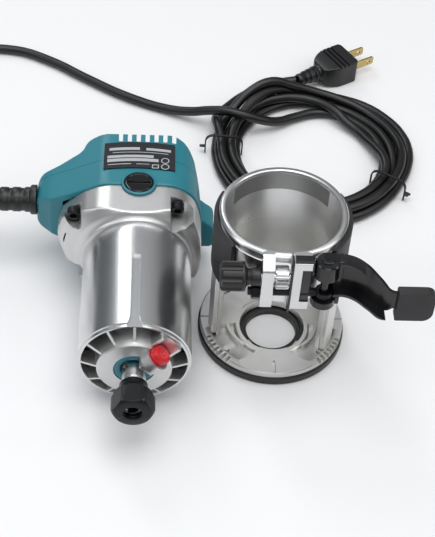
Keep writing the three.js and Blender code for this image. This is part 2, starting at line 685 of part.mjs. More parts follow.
function pillars() {
  const { bore, radius } = SLEEVE;
  const left = join(
    sector(bore, radius, 6.5, 66, 160, 200),
    sector(bore, 41, 6.5, 14, 160, 200),
    sector(radius - 1, radius + 2.4, 10, 58.6, 180, 200),
  );
  const right = join(
    sector(bore, radius, 6.5, 66, -40, 20),
    sector(bore, 41, 6.5, 14, -40, 20),
    sector(radius - 1, radius + 2.4, 10, 64, -40, -20),
  );
  const rear = sector(bore, radius, 26, 66, 15, 165);
  return [left, right, rear];
}

function baseCasting() {
  const { bore, radius, bottom, top } = SLEEVE;
  const sleeve = turned(
    [
      [bore, bottom], [radius, bottom], [radius, 96.2], [radius - 0.7, 96.6],
      [radius - 0.7, 97.6], [radius, 98], [radius, top - 0.6], [radius - 0.6, top],
      [bore + 0.8, top], [bore, top - 0.8],
    ],
    "z",
    ROUND,
  );
  const casting = join(sleeve, ...lugs(), ...pillars(), footPlate());
  const slit = box(SLIT.x - SLIT.width / 2, SLIT.x + SLIT.width / 2, -50, -20, 40, 110);
  const pinionRoom = box(LUG.left[1] - 0.2, SLIT.x, -50, -29, PINION.z - 8, PINION.z + 8.2);
  const shaftHole = disc(2.8, -20, 9, "x", SMALL).translate([0, PINION.y, PINION.z]);
  const neckRoom = disc(KNOB.neck + 0.5, -30, KNOB.neckEnd + 0.3, "x", 24).translate([0, PINION.y, PINION.z]);
  const boltHole = disc(2.8, -20, 20, "x", SMALL).translate([0, BOLT.y, BOLT.z]);
  const footHoles = FOOT_SCREWS.angles.map((degrees) => {
    const [x, y] = polar(FOOT_SCREWS.circle, degrees);
    return disc(2.2, 0, 20, "z", FINE).translate([x, y, 0]);
  });
  return cut(casting, slit, pinionRoom, shaftHole, neckRoom, boltHole, ...footHoles);
}

function subBase() {
  const { radius, thickness, hole, holeY } = SUB_BASE;
  const blank = turned(
    [
      [0, 0], [radius - 0.8, 0], [radius, 0.8], [radius, thickness - 0.6], [radius - 0.6, thickness],
      [0, thickness],
    ],
    "z",
    ROUND,
  );
  const mouth = join(disc(hole, -1, 8, "z", ROUND), disc(hole + 2.6, thickness - 1.6, 8, "z", ROUND));
  const plate = cut(blank, mouth.translate([0, holeY, 0]));
  const holes = FOOT_SCREWS.angles.map((degrees) => {
    const [x, y] = polar(FOOT_SCREWS.circle, degrees);
    return join(disc(2.2, -1, 8, "z", FINE), disc(4.2, -1, 2.9, "z", SMALL)).translate([x, y, 0]);
  });
  return cut(plate, ...holes);
}

function subBaseScrew(degrees) {
  const [x, y] = polar(FOOT_SCREWS.circle, degrees);
  const screw = join(disc(3.8, 0.6, 2.6, "z", SMALL), disc(1.9, 2.5, 8.6, "z", FINE));
  const slots = [box(-0.6, 0.6, -3.2, 3.2, 0, 1.3), box(-3.2, 3.2, -0.6, 0.6, 0, 1.3)];
  return cut(screw, ...slots).translate([x, y, 0]);
}

// Black grips on the sleeve's flanks, cleared round the knob and the lever.
function grips() {
  const { inner, outer, bottom, top } = GRIP;
  const knobRoom = disc(KNOB.radius + 0.9, -60, -6, "x", 24).translate([0, PINION.y, PINION.z]);
  const left = cut(sector(inner, outer, bottom, top, 150, 221), knobRoom);
  const leverRoom = ring(0.5, 13.5, 60, 110, "z", 24).translate([PIVOT.x, PIVOT.y, 0]);
  const right = cut(sector(inner, outer, 64.5, top, -60, 30), leverRoom);
  return [left, right];
}

// Black cap on the top and outer side of the right lug.
function lugCover() {
  const [left, right] = LUG.right;
  const front = LUG.front + 0.4;
  return join(
    box(left + GAP, right + 1, front, -36.8, SLEEVE.top + GAP, SLEEVE.top + 1.5),
    box(right + GAP, right + 1, front, -37.4, 92, SLEEVE.top + 1.5),
  );
}

function depthKnob() {
  const { radius, left, right, neck, neckEnd } = KNOB;
  const flutes = around(8, (i) => {
    const groove = disc(1.7, left - 1, right - 1.2, "x", 10).translate([0, radius + 0.5, 0]);
    return groove.rotate([i * 45, 0, 0]);
  });
  const head = turned([[0, left], [radius - 1, left], [radius, left + 1], [radius, right], [0, right]], "x");
  const body = join(cut(head, ...flutes), disc(neck, right - 1, neckEnd, "x"));
  return cut(body, disc(2.7, left + 4, neckEnd + 1, "x", SMALL)).translate([0, PINION.y, PINION.z]);
}

function pinionShaft() {
  const { y, z, radius, teeth, left, right } = PINION;
  const shape = new THREE.Shape();
  const step = (2 * Math.PI) / teeth;
  const corners = around(teeth, (i) => i * step).flatMap((angle) => [
    [radius - 1.6, angle - 0.3 * step], [radius, angle - 0.13 * step],
    [radius, angle + 0.13 * step], [radius - 1.6, angle + 0.3 * step],
  ]);
  corners.forEach(([r, angle], i) => {
    const at = [r * Math.cos(angle), r * Math.sin(angle)];
    if (i === 0) shape.moveTo(...at);
    else shape.lineTo(...at);
  });
  shape.closePath();
  return join(prism(shape, "x", left, right), disc(2.5, KNOB.left + 4.4, 8, "x", SMALL)).translate([0, y, z]);
}

function clampBolt() {
  const { y, z, radius } = BOLT;
  const eye = cut(
    disc(5, z - 2.1, z + 2.1, "z", 24).translate([PIVOT.x, PIVOT.y, 0]),
    disc(PIVOT.pin + 0.25, z - 5, z + 5, "z", SMALL).translate([PIVOT.x, PIVOT.y, 0]),
  );
  return join(eye, disc(radius, -20.5, PIVOT.x - 4, "x", SMALL).translate([0, y, z]));
}

function clampNut() {
  const nut = cut(disc(4.8, -18.6, LUG.left[0] - 0.4, "x", 6), disc(2.75, -30, 0, "x", SMALL));
  return nut.translate([0, BOLT.y, BOLT.z]);
}

// A strip that follows the lever's path: offsets to its front and rear side, between two heights.
function leverStrip(path, front, rear, bottom, top) {
  const curve = new THREE.SplineCurve(path.map(([x, y]) => new THREE.Vector2(x, y)));
  const samples = around(12, (i) => i / 11);
  const side = (offset) =>
    samples.map((t) => {
      const at = curve.getPoint(t);
      const along = curve.getTangent(t);
      return new THREE.Vector2(at.x - along.y * offset, at.y + along.x * offset);
    });
  const shape = new THREE.Shape([...side(-front), ...side(rear).reverse()]);
  return prism(shape, "z", bottom, top);
}

function lever() {
  const { web, mid, flange, flangeThickness } = LEVER;
  const channelPath = LEVER_PATH.slice(0, 5);
  const webStrip = leverStrip(LEVER_PATH, 0, web, mid - 13, mid + 13);
  const topFlange = leverStrip(channelPath, flange, web, mid + 11, mid + 11 + flangeThickness);
  const bottomFlange = leverStrip(channelPath, flange, web, mid - 11 - flangeThickness, mid - 11);
  const side = outline([
    [-4, mid + 13, 0], [14, mid + 13, 6], [29, mid + 8.5, 4], [34, mid + 5, 2], [60, mid + 5, 0],
    [60, mid - 7, 0], [35, mid - 7, 3], [30, mid - 12.5, 3], [14, mid - 13, 4], [-4, mid - 13, 0],
  ]);
  const sideTrim = prism(side, "y", -40, 40);
  const arm = common(join(webStrip, topFlange, bottomFlange), sideTrim);
  const knuckles = join(
    disc(PIVOT.knuckle, PIVOT.bottom, 74, "z"),
    disc(PIVOT.knuckle, 91, PIVOT.top, "z"),
    cut(box(0, 9, -1, 6, PIVOT.bottom, PIVOT.top), box(-1, 10, -8, 2.6, 74, 91)),
  );
  const eyeRoom = disc(5.7, 74, 91, "z", 24);
  const pinHole = disc(PIVOT.pin + 0.25, 60, 110, "z", SMALL);
  return cut(join(knuckles, arm), eyeRoom, pinHole).translate([PIVOT.x, PIVOT.y, 0]);
}

function leverTip() {
  const { left, right, bottom, top, front, rear } = TIP;
  const shape = outline([[left, top, 1], [right, top, 7], [right, bottom, 7], [left, bottom, 1]]);
  const tip = prism(shape, "y", front, rear);
  const socket = leverStrip(LEVER_PATH, GAP, LEVER.web + GAP, LEVER.mid - 7.4, LEVER.mid + 5.4);
  return cut(tip, socket).translate([PIVOT.x, PIVOT.y, 0]);
}

add(trimBase, "base_casting", baseCasting(), castAluminium);
add(trimBase, "sub_base", subBase(), blackPlastic);
FOOT_SCREWS.angles.forEach((degrees, i) => {
  add(trimBase, "sub_base_screw_" + (i + 1), subBaseScrew(degrees), steel);
});
const [leftGrip, rightGrip] = grips();
add(trimBase, "grip_left", leftGrip, blackPlastic);
add(trimBase, "grip_right", rightGrip, blackPlastic);
add(trimBase, "lug_cover", lugCover(), blackPlastic);
add(trimBase, "clamp_bolt", clampBolt(), blackSteel);
add(trimBase, "clamp_nut", clampNut(), blackSteel);
add(trimBase, "depth_knob", depthKnob(), blackPlastic);
add(trimBase, "pinion_shaft", pinionShaft(), steel);
add(
  trimBase,
  "lever_pin",
  disc(PIVOT.pin, PIVOT.bottom + 0.4, PIVOT.top - 0.8, "z", SMALL).translate([PIVOT.x, PIVOT.y, 0]),
  steel,
);
add(trimBase, "lever", lever(), blackSteel);
add(trimBase, "lever_tip", leverTip(), blackPlastic);

// ---------------------------------------------------------------- mains cord
const cord = new THREE.Group();

// Centre line of the lead, from the guard's end to the place where it meets the coil.
const LEAD_ROUTE = [
  [-136, 61.5, 47], [-151, 62, 43], [-168, 66, 28], [-180, 76, 14], [-187, 91, 6], [-190, 110, CORD.floor],
  [-191, 135, CORD.floor], [-190, 165, CORD.floor], [-184, 205, CORD.floor], [-170, 245, CORD.floor],
  [-148, 265, CORD.floor], [-123, 267, CORD.floor], [-95, 255, CORD.floor], [-68, 236, CORD.floor],
  [-37, 216, CORD.floor], [-5, 202, CORD.floor], [19, 192, CORD.floor],
];
const TAIL_ROUTE = [[60, 230, 5.5], [68, 232.4, 6.5], [77, 233.6, 8], [84.2, 234.2, 9]];
const PLUG_START = [85.8, 234.6, 9.1];
const PLUG_TURN = 31;
const BLADE_OFFSET = 6.35;

function coil() {
  const { x, y, radius, halfWidth, height } = COIL;
  const section = [];
  around(8, (i) => {
    const angle = ((i + 0.5) / 8) * 2 * Math.PI;
    const level = height / 2 + (height / 2 - 0.1) * Math.sin(angle);
    section.push([radius + halfWidth * Math.cos(angle), level + 0.1]);
  });
  return turned(section, "z", 36).translate([x, y, 0]);
}

// A plug part made along +X from the strain relief's tail.
function placePlug(solid) {
  return solid.rotate([0, 0, PLUG_TURN]).translate(PLUG_START);
}

function plugBody() {
  const relief = turned(
    [
      [0, 0], [4.3, 0], [4.3, 4], [5, 4.4], [5, 7], [4.5, 7.4], [5.4, 9.4], [5.4, 12], [4.9, 12.4], [6, 14.4],
      [6, 17], [5.6, 17.4], [6.6, 20], [0, 20],
    ],
    "x",
    SMALL,
  );
  const plan = outline([
    [18, -7, 3], [26, -12.5, 6], [46, -12.5, 4], [46, 12.5, 4], [26, 12.5, 6], [18, 7, 3],
  ]);
  const profile = outline([[17, -6, 3], [26, -9, 6], [47, -9, 2.5], [47, 9, 2.5], [26, 9, 6], [17, 6, 3]]);
  const body = common(prism(plan, "z", -8.8, 8.8), prism(profile, "y", -14, 14));
  return placePlug(join(relief, body));
}

function plugBlade(side) {
  const shape = outline([[46.3, -3.2, 0], [64, -3.2, 1.5], [64, 3.2, 1.5], [46.3, 3.2, 0]]);
  const hole = disc(1.4, -3, 3, "y", FINE).translate([59.5, 0, 0]);
  const blade = cut(prism(shape, "y", -0.75, 0.75), hole);
  return placePlug(blade.translate([0, side * BLADE_OFFSET, 0]));
}

// A tie over the coil at an angle about it, with its twisted end on the outside.
function cordTie(degrees) {
  const { x, y, radius, halfWidth, height } = COIL;
  const arch = (margin, bottom, fillet, halfThickness) => {
    const half = halfWidth + margin;
    const top = height + margin - 0.1;
    return prism(
      outline([[-half, bottom, 0], [-half, top, fillet], [half, top, fillet], [half, bottom, 0]]),
      "y",
      -halfThickness,
      halfThickness,
    );
  };
  const twist = box(halfWidth + 1.2, halfWidth + 8, -1.6, 1.6, 5, 8);
  return join(cut(arch(1.6, 0.1, 6, 1.3), arch(0.5, -2, 5, 3)), twist)
    .translate([radius, 0, 0])
    .rotate([0, 0, degrees])
    .translate([x, y, 0]);
}

const toPoints = (route) => route.map((at) => new THREE.Vector3(...at));
add(cord, "cord_lead", tube(toPoints(LEAD_ROUTE), CORD.radius, 8, 44), rubber);
add(cord, "cord_coil", coil(), rubber);
add(cord, "cord_tail", tube(toPoints(TAIL_ROUTE), CORD.radius, 8, 4), rubber);
add(cord, "plug_body", plugBody(), rubber);
add(cord, "plug_blade_1", plugBlade(-1), brass);
add(cord, "plug_blade_2", plugBlade(1), brass);
add(cord, "cord_tie_1", cordTie(-32), blackPlastic);
add(cord, "cord_tie_2", cordTie(176), blackPlastic);

const router = new THREE.Group();
router.add(motor, trimBase, cord);

export default router;
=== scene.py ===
# Trim router: motor unit on its side, trim base standing beside it, cord coiled behind.
import json
from math import cos, radians, sin, sqrt, tau

import bmesh
import bpy
from mathutils import Matrix, Vector


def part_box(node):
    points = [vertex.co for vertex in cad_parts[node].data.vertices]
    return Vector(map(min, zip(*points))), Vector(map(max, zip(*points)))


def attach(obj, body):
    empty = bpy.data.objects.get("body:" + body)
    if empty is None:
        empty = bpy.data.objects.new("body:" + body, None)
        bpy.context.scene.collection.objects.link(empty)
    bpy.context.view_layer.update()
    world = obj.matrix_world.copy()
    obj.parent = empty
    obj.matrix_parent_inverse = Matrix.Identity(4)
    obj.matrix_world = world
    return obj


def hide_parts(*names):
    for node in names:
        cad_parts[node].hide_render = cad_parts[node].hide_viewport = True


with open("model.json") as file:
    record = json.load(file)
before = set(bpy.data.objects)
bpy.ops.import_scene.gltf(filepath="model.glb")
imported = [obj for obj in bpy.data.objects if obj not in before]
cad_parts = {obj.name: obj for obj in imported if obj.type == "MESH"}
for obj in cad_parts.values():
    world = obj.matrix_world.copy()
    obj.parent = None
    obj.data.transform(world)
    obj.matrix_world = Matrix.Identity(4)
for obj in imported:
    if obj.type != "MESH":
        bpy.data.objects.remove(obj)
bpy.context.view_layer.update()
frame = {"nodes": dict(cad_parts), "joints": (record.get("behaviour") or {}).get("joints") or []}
joints = {joint["name"]: joint for joint in frame["joints"]}
nodes = frame["nodes"]
mm = 0.001


def centreOf(node):
    low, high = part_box(node)
    return (low + high) / 2


# the motor's frame starts on the spindle's axis at the front rim, the base's on the table under the sleeve
motorAt = Vector(joints["spindle_spin"]["pos_m"])
baseAt = centreOf("sub_base") * Vector((1, 1, 0))
motorFrame = Matrix.Translation(motorAt) @ Matrix.Scale(mm, 4)
baseFrame = Matrix.Translation(baseAt) @ Matrix.Scale(mm, 4)
tableFrame = Matrix.Scale(mm, 4)

# camera, floor and light

cameraView = {
    "at": (-0.0218, -0.5443, 0.625),
    "turn": 4.4,  # degrees clockwise from looking along +Y
    "down": 46.3,
    "roll": 4.5,
    "lens": 90.5,
}


def makeCamera():
    data = bpy.data.cameras.new("camera")
    data.lens = cameraView["lens"]
    data.sensor_width = 36
    camera = bpy.data.objects.new("camera", data)
    bpy.context.scene.collection.objects.link(camera)
    turn = Matrix.Rotation(-radians(cameraView["turn"]), 4, "Z")
    tilt = Matrix.Rotation(radians(90 - cameraView["down"]), 4, "X")
    roll = Matrix.Rotation(radians(cameraView["roll"]), 4, "Z")
    camera.matrix_world = Matrix.Translation(cameraView["at"]) @ turn @ tilt @ roll
    bpy.context.scene.camera = camera


makeCamera()
print("camera placed")

lamps = [  # name, place, aimed at, size, watts, colour
    ("ceilingPanel", (0.05, -0.05, 1.7), (0.03, 0.02, 0.0), (1.5, 1.2), 17.0, (1.0, 0.995, 0.985)),
    ("rearStrip", (-0.50, 1.05, 1.00), (-0.03, 0.0, 0.03), (0.26, 0.8), 3.4, (1.0, 1.0, 1.0)),
    ("leftCard", (-1.25, -0.3, 0.95), (-0.03, 0.0, 0.03), (0.5, 0.9), 3.0, (0.98, 0.99, 1.0)),
    ("rightCard", (1.15, -0.2, 0.9), (0.03, 0.0, 0.03), (0.5, 0.9), 3.0, (1.0, 0.99, 0.97)),
    ("frontCard", (0.0, -1.2, 1.0), (0.0, 0.0, 0.05), (1.2, 0.5), 3.5, (1.0, 1.0, 1.0)),
]


roomFacts = {
    "strength": 0.8,
    "upward": [  # from the horizon to straight up
        (0.0, (0.13, 0.135, 0.14)), (0.40, (0.17, 0.17, 0.175)), (0.58, (0.40, 0.40, 0.40)),
        (0.74, (0.46, 0.46, 0.46)), (0.86, (0.75, 0.75, 0.75)), (1.0, (0.95, 0.95, 0.95)),
    ],
    "across": [(0.0, (0.95, 1.0, 1.05)), (0.4, (1.0, 1.0, 1.0))],
}


def makeLights():
    for name, place, target, size, power, colour in lamps:
        data = bpy.data.lights.new(name, "AREA")
        data.shape = "RECTANGLE"
        data.size, data.size_y = size
        data.energy = power
        data.color = colour
        lamp = bpy.data.objects.new(name, data)
        aim = Vector(target) - Vector(place)
        lamp.matrix_world = Matrix.Translation(place) @ aim.to_track_quat("-Z", "Y").to_matrix().to_4x4()
        bpy.context.scene.collection.objects.link(lamp)
    world = bpy.data.worlds.new("studio")
    bpy.context.scene.world = world
    world.use_nodes = True
    tree = world.node_tree
    background = tree.nodes["Background"]
    place = tree.nodes.new("ShaderNodeTexCoord")
    split = tree.nodes.new("ShaderNodeSeparateXYZ")
    tree.links.new(place.outputs["Generated"], split.inputs[0])
    ramps = []
    for axis, stops in (("Z", roomFacts["upward"]), ("X", roomFacts["across"])):
        ramp = tree.nodes.new("ShaderNodeValToRGB")
        tree.links.new(split.outputs[axis], ramp.inputs[0])
        ramp.color_ramp.elements[0].position, ramp.color_ramp.elements[0].color = stops[0][0], (*stops[0][1], 1)
        ramp.color_ramp.elements[1].position, ramp.color_ramp.elements[1].color = stops[-1][0], (*stops[-1][1], 1)
        for position, colour in stops[1:-1]:
            ramp.color_ramp.elements.new(position).color = (*colour, 1)
        ramps.append(ramp)
    tint = tree.nodes.new("ShaderNodeVectorMath")
    tint.operation = "MULTIPLY"
    for ramp, socket in zip(ramps, tint.inputs):
        tree.links.new(ramp.outputs["Color"], socket)
    tree.links.new(tint.outputs[0], background.inputs["Color"])
    background.inputs["Strength"].default_value = roomFacts["strength"]
    bpy.context.scene.view_settings.view_transform = "Standard"


makeLights()
print("lights set")

# shared effects, as node groups


def startGroup(name, inputs, outputs):
    group = bpy.data.node_groups.new(name, "ShaderNodeTree")
    for label, kind, value in inputs:
        socket = group.interface.new_socket(label, in_out="INPUT", socket_type=kind)
        if value is not None:
            socket.default_value = value
    for label, kind in outputs:
        group.interface.new_socket(label, in_out="OUTPUT", socket_type=kind)
    start = group.nodes.new("NodeGroupInput")
    end = group.nodes.new("NodeGroupOutput")
    return group, start, end


def addMath(tree, operation, first, second, clamp=False):
    node = tree.nodes.new("ShaderNodeMath")
    node.operation = operation
    node.use_clamp = clamp
    for socket, value in zip(node.inputs, (first, second)):
        if isinstance(value, (int, float)):
            socket.default_value = value
        else:
            tree.links.new(value, socket)
    return node.outputs[0]


def makeGrainGroup():
    # two sizes of noise: a fine one for the surface and a broad one for handling marks
    group, start, end = startGroup(
        "surfaceGrain",
        [
            ("Place", "NodeSocketVector", None), ("Scale", "NodeSocketFloat", 900.0),
            ("Cloud", "NodeSocketFloat", 30.0),
        ],
        [("Fine", "NodeSocketFloat"), ("Broad", "NodeSocketFloat")],
    )
    for label, size, detail in (("Fine", "Scale", 3.0), ("Broad", "Cloud", 4.0)):
        noise = group.nodes.new("ShaderNodeTexNoise")
        noise.inputs["Detail"].default_value = detail
        group.links.new(start.outputs["Place"], noise.inputs["Vector"])
        group.links.new(start.outputs[size], noise.inputs["Scale"])
        group.links.new(noise.outputs["Fac"], end.inputs[label])
    return group


def makeLineGroup():
    # fine uneven lines where a cutter or brush passed: the place is stretched so that noise draws out
    group, start, end = startGroup(
        "toolLines",
        [("Place", "NodeSocketVector", None), ("Stretch", "NodeSocketVector", (1.0, 1.0, 1.0))],
        [("Line", "NodeSocketFloat")],
    )
    scaled = group.nodes.new("ShaderNodeVectorMath")
    scaled.operation = "MULTIPLY"
    noise = group.nodes.new("ShaderNodeTexNoise")
    noise.inputs["Scale"].default_value = 1.0
    noise.inputs["Detail"].default_value = 4.0
    noise.inputs["Roughness"].default_value = 0.65
    group.links.new(start.outputs["Place"], scaled.inputs[0])
    group.links.new(start.outputs["Stretch"], scaled.inputs[1])
    group.links.new(scaled.outputs[0], noise.inputs["Vector"])
    group.links.new(noise.outputs["Fac"], end.inputs["Line"])
    return group


def makeEdgeHighlightGroup():
    # a mask of convex edges, broken up by noise, where a lighter colour is mixed in: a painted highlight along edges
    group, start, end = startGroup(
        "paintedEdgeHighlight",
        [("Edge", "NodeSocketFloat", 0.5), ("Break", "NodeSocketFloat", 0.5), ("Amount", "NodeSocketFloat", 1.0)],
        [("Highlight", "NodeSocketFloat")],
    )
    sharp = addMath(group, "SUBTRACT", start.outputs["Edge"], 0.53)
    strong = addMath(group, "MULTIPLY", sharp, 14.0, clamp=True)
    broken = addMath(group, "MULTIPLY", strong, start.outputs["Break"])
    highlighted = addMath(group, "MULTIPLY", broken, start.outputs["Amount"], clamp=True)
    group.links.new(highlighted, end.inputs["Highlight"])
    return group


grainGroup = makeGrainGroup()
lineGroup = makeLineGroup()
edgeHighlightGroup = makeEdgeHighlightGroup()

# finishes; colours are linear, stretch is lines per metre along x, y and z; the edge amount and edge colour lighten
# convex edges, a painted highlight

finishes = {
    "turnedAluminium": {
        "colour": (0.76, 0.765, 0.77), "shade": (0.66, 0.665, 0.67), "metal": 1.0, "rough": (0.20, 0.30),
        "stretch": (14, 2600, 14), "lineHeight": 0.012, "grain": 1500, "grainHeight": 0.0, "cloud": 35,
    },
    "sleeveAluminium": {
        "colour": (0.74, 0.745, 0.745), "shade": (0.62, 0.625, 0.63), "metal": 1.0, "rough": (0.24, 0.34),
        "stretch": (14, 14, 2400), "lineHeight": 0.014, "grain": 1500, "grainHeight": 0.0, "cloud": 35,
    },
    "castAluminium": {
        "colour": (0.74, 0.74, 0.735), "shade": (0.60, 0.60, 0.595), "metal": 1.0, "rough": (0.34, 0.46),
        "grain": 2200, "grainHeight": 0.05, "cloud": 60,
    },
    "footAluminium": {
        "colour": (0.72, 0.715, 0.70), "shade": (0.56, 0.555, 0.54), "metal": 1.0, "rough": (0.28, 0.42),
        "grain": 2200, "grainHeight": 0.03, "cloud": 60,
    },
    # painted reflection: a dark metal colour for the band on the upper rear of the bore
    "boreReflectionBand": {
        "colour": (0.36, 0.36, 0.36), "shade": (0.30, 0.30, 0.30), "metal": 1.0, "rough": (0.34, 0.44),
        "grain": 1800, "grainHeight": 0.02, "cloud": 60,
    },
    "brightSteel": {
        "colour": (0.70, 0.705, 0.71), "shade": (0.56, 0.56, 0.57), "metal": 1.0, "rough": (0.16, 0.28),
        "grain": 1800, "grainHeight": 0.01, "cloud": 80,
    },
    "lamination": {
        "colour": (0.42, 0.42, 0.43), "shade": (0.24, 0.24, 0.25), "metal": 1.0, "rough": (0.35, 0.5),
        "stretch": (4, 3000, 4), "lineHeight": 0.08, "grain": 1800, "grainHeight": 0.0, "cloud": 80,
    },
    "blackOxide": {
        "colour": (0.030, 0.031, 0.033), "shade": (0.018, 0.018, 0.020), "metal": 0.85, "rough": (0.30, 0.44),
        "grain": 2400, "grainHeight": 0.02, "cloud": 90, "edgeHighlight": 0.35, "edgeHighlightColour": (0.25, 0.25, 0.26),
    },
    "leverEnamel": {
        "colour": (0.008, 0.008, 0.009), "shade": (0.005, 0.005, 0.006), "metal": 0.0, "rough": (0.14, 0.24),
        "grain": 700, "grainHeight": 0.01, "cloud": 50, "edgeHighlight": 0.12, "edgeHighlightColour": (0.12, 0.12, 0.12),
    },
    "tealShell": {
        "colour": (0.022, 0.195, 0.245), "shade": (0.018, 0.168, 0.215), "metal": 0.0, "rough": (0.36, 0.46),
        "grain": 2600, "grainHeight": 0.035, "cloud": 40, "edgeHighlight": 0.15, "edgeHighlightColour": (0.06, 0.32, 0.40),
    },
    "blackMoulding": {
        "colour": (0.011, 0.011, 0.012), "shade": (0.007, 0.007, 0.008), "metal": 0.0, "rough": (0.36, 0.48),
        "grain": 2200, "grainHeight": 0.04, "cloud": 50,
    },
    "gripMoulding": {
        "colour": (0.017, 0.017, 0.019), "shade": (0.011, 0.011, 0.012), "metal": 0.0, "rough": (0.50, 0.62),
        "grain": 2600, "grainHeight": 0.10, "cloud": 50, "edgeHighlight": 0.2, "edgeHighlightColour": (0.05, 0.05, 0.05),
    },
    "capGloss": {
        "colour": (0.006, 0.006, 0.007), "shade": (0.004, 0.004, 0.005), "metal": 0.0, "rough": (0.12, 0.20),
        "grain": 900, "grainHeight": 0.01, "cloud": 60,
    },
    "redButton": {
        "colour": (0.62, 0.012, 0.020), "shade": (0.50, 0.008, 0.014), "metal": 0.0, "rough": (0.26, 0.36),
        "grain": 1800, "grainHeight": 0.02, "cloud": 120,
    },
    "labelInk": {
        "colour": (0.012, 0.013, 0.018), "shade": (0.009, 0.010, 0.014), "metal": 0.0, "rough": (0.30, 0.40),
        "grain": 3000, "grainHeight": 0.01, "cloud": 80,
    },
    "labelSilver": {
        "colour": (0.50, 0.51, 0.52), "shade": (0.44, 0.45, 0.46), "metal": 0.3, "rough": (0.34, 0.42),
        "grain": 3000, "grainHeight": 0.0, "cloud": 80,
    },
    "copper": {
        "colour": (0.55, 0.22, 0.10), "shade": (0.40, 0.15, 0.07), "metal": 1.0, "rough": (0.26, 0.40),
        "grain": 1800, "grainHeight": 0.02, "cloud": 90,
    },
    "brass": {
        "colour": (0.62, 0.47, 0.20), "shade": (0.50, 0.36, 0.14), "metal": 1.0, "rough": (0.20, 0.34),
        "grain": 1800, "grainHeight": 0.01, "cloud": 90,
    },
    "carbonBlock": {
        "colour": (0.035, 0.035, 0.037), "shade": (0.02, 0.02, 0.021), "metal": 0.1, "rough": (0.65, 0.8),
        "grain": 1600, "grainHeight": 0.15, "cloud": 90,
    },
    "guardRubber": {
        "colour": (0.010, 0.010, 0.011), "shade": (0.007, 0.007, 0.007), "metal": 0.0, "rough": (0.34, 0.46),
        "grain": 1800, "grainHeight": 0.05, "cloud": 40,
    },
    "cordSheath": {
        "colour": (0.0045, 0.0045, 0.005), "shade": (0.003, 0.003, 0.0034), "metal": 0.0, "rough": (0.32, 0.44),
        "grain": 1400, "grainHeight": 0.03, "cloud": 45,
    },
    "plugMoulding": {
        "colour": (0.009, 0.009, 0.010), "shade": (0.006, 0.006, 0.007), "metal": 0.0, "rough": (0.30, 0.42),
        "grain": 2000, "grainHeight": 0.06, "cloud": 50,
    },
}


def addGroup(tree, group, **values):
    node = tree.nodes.new("ShaderNodeGroup")
    node.node_tree = group
    for label, value in values.items():
        node.inputs[label].default_value = value
    return node


def mixColours(tree, factor, first, second):
    mix = tree.nodes.new("ShaderNodeMix")
    mix.data_type = "RGBA"
    tree.links.new(factor, mix.inputs["Factor"])
    for label, value in (("A", first), ("B", second)):
        socket = next(s for s in mix.inputs if s.name == label and s.type == "RGBA")
        if isinstance(value, tuple):
            socket.default_value = (*value, 1)
        else:
            tree.links.new(value, socket)
    return next(s for s in mix.outputs if s.type == "RGBA")


def makeFinish(name, look):
    material = bpy.data.materials.new(name)
    material.use_nodes = True
    tree = material.node_tree
    shader = tree.nodes["Principled BSDF"]
    shader.inputs["Metallic"].default_value = look["metal"]
    place = tree.nodes.new("ShaderNodeTexCoord").outputs["Object"]
    grain = addGroup(tree, grainGroup, Scale=look["grain"], Cloud=look["cloud"])
    tree.links.new(place, grain.inputs["Place"])
    colour = mixColours(tree, grain.outputs["Broad"], look["colour"], look["shade"])
    height = addMath(tree, "MULTIPLY", grain.outputs["Fine"], look["grainHeight"])
    if "stretch" in look:
        lines = addGroup(tree, lineGroup, Stretch=look["stretch"])
        tree.links.new(place, lines.inputs["Place"])
        lineHeight = addMath(tree, "MULTIPLY", lines.outputs["Line"], look["lineHeight"])
        height = addMath(tree, "ADD", height, lineHeight)
    # painted highlight: convex edges, found by pointiness, are mixed towards the lighter edge colour
    if "edgeHighlight" in look:
        edgeHighlight = addGroup(tree, edgeHighlightGroup, Amount=look["edgeHighlight"])
        tree.links.new(tree.nodes.new("ShaderNodeNewGeometry").outputs["Pointiness"], edgeHighlight.inputs["Edge"])
        tree.links.new(grain.outputs["Broad"], edgeHighlight.inputs["Break"])
        colour = mixColours(tree, edgeHighlight.outputs["Highlight"], colour, look["edgeHighlightColour"])
    tree.links.new(colour, shader.inputs["Base Color"])
    low, high = look["rough"]
    spread = addMath(tree, "MULTIPLY", grain.outputs["Broad"], high - low)
    tree.links.new(addMath(tree, "ADD", spread, low), shader.inputs["Roughness"])
    bump = tree.nodes.new("ShaderNodeBump")
    bump.inputs["Distance"].default_value = mm
    bump.inputs["Strength"].default_value = 0.6
    tree.links.new(height, bump.inputs["Height"])
    tree.links.new(bump.outputs["Normal"], shader.inputs["Normal"])
    return material


materials = {name: makeFinish(name, look) for name, look in finishes.items()}
print("finishes made:", len(materials))

# floor


def makeFloor():
    floor = bmesh.new()
    bmesh.ops.create_grid(floor, x_segments=1, y_segments=1, size=4)
    mesh = bpy.data.meshes.new("floor")
    floor.to_mesh(mesh)
    floor.free()
    paper = bpy.data.materials.new("paper")
    paper.use_nodes = True
    paper.node_tree.nodes["Principled BSDF"].inputs["Base Color"].default_value = (0.80, 0.80, 0.81, 1)
    paper.node_tree.nodes["Principled BSDF"].inputs["Roughness"].default_value = 0.6
    mesh.materials.append(paper)
    table = bpy.data.objects.new("floor", mesh)
    bpy.context.scene.collection.objects.link(table)


makeFloor()

# CAD nodes that stay, each with its finish

nodeFinishes = {
    "brightSteel": ["rack", "front_bearing", "rear_bearing", "lock_pin", "lock_spring", "armature_shaft", "collet"],
    "lamination": ["stator", "armature_core"],
    "copper": ["commutator"],
    "brass": ["brush_holder_upper", "brush_holder_lower"],
    "carbonBlock": ["brush_upper", "brush_lower"],
    "blackMoulding": ["fan", "switch_body", "switch_rocker", "cord_clamp", "brush_cap_lower"],
}


def paintNodes():
    for finish, names in nodeFinishes.items():
        for name in names:
            mesh = nodes[name].data
            mesh.materials.clear()
            mesh.materials.append(materials[finish])


paintNodes()
print("CAD nodes finished")

# the cord: lead from the guard, coil, and tail to the plug

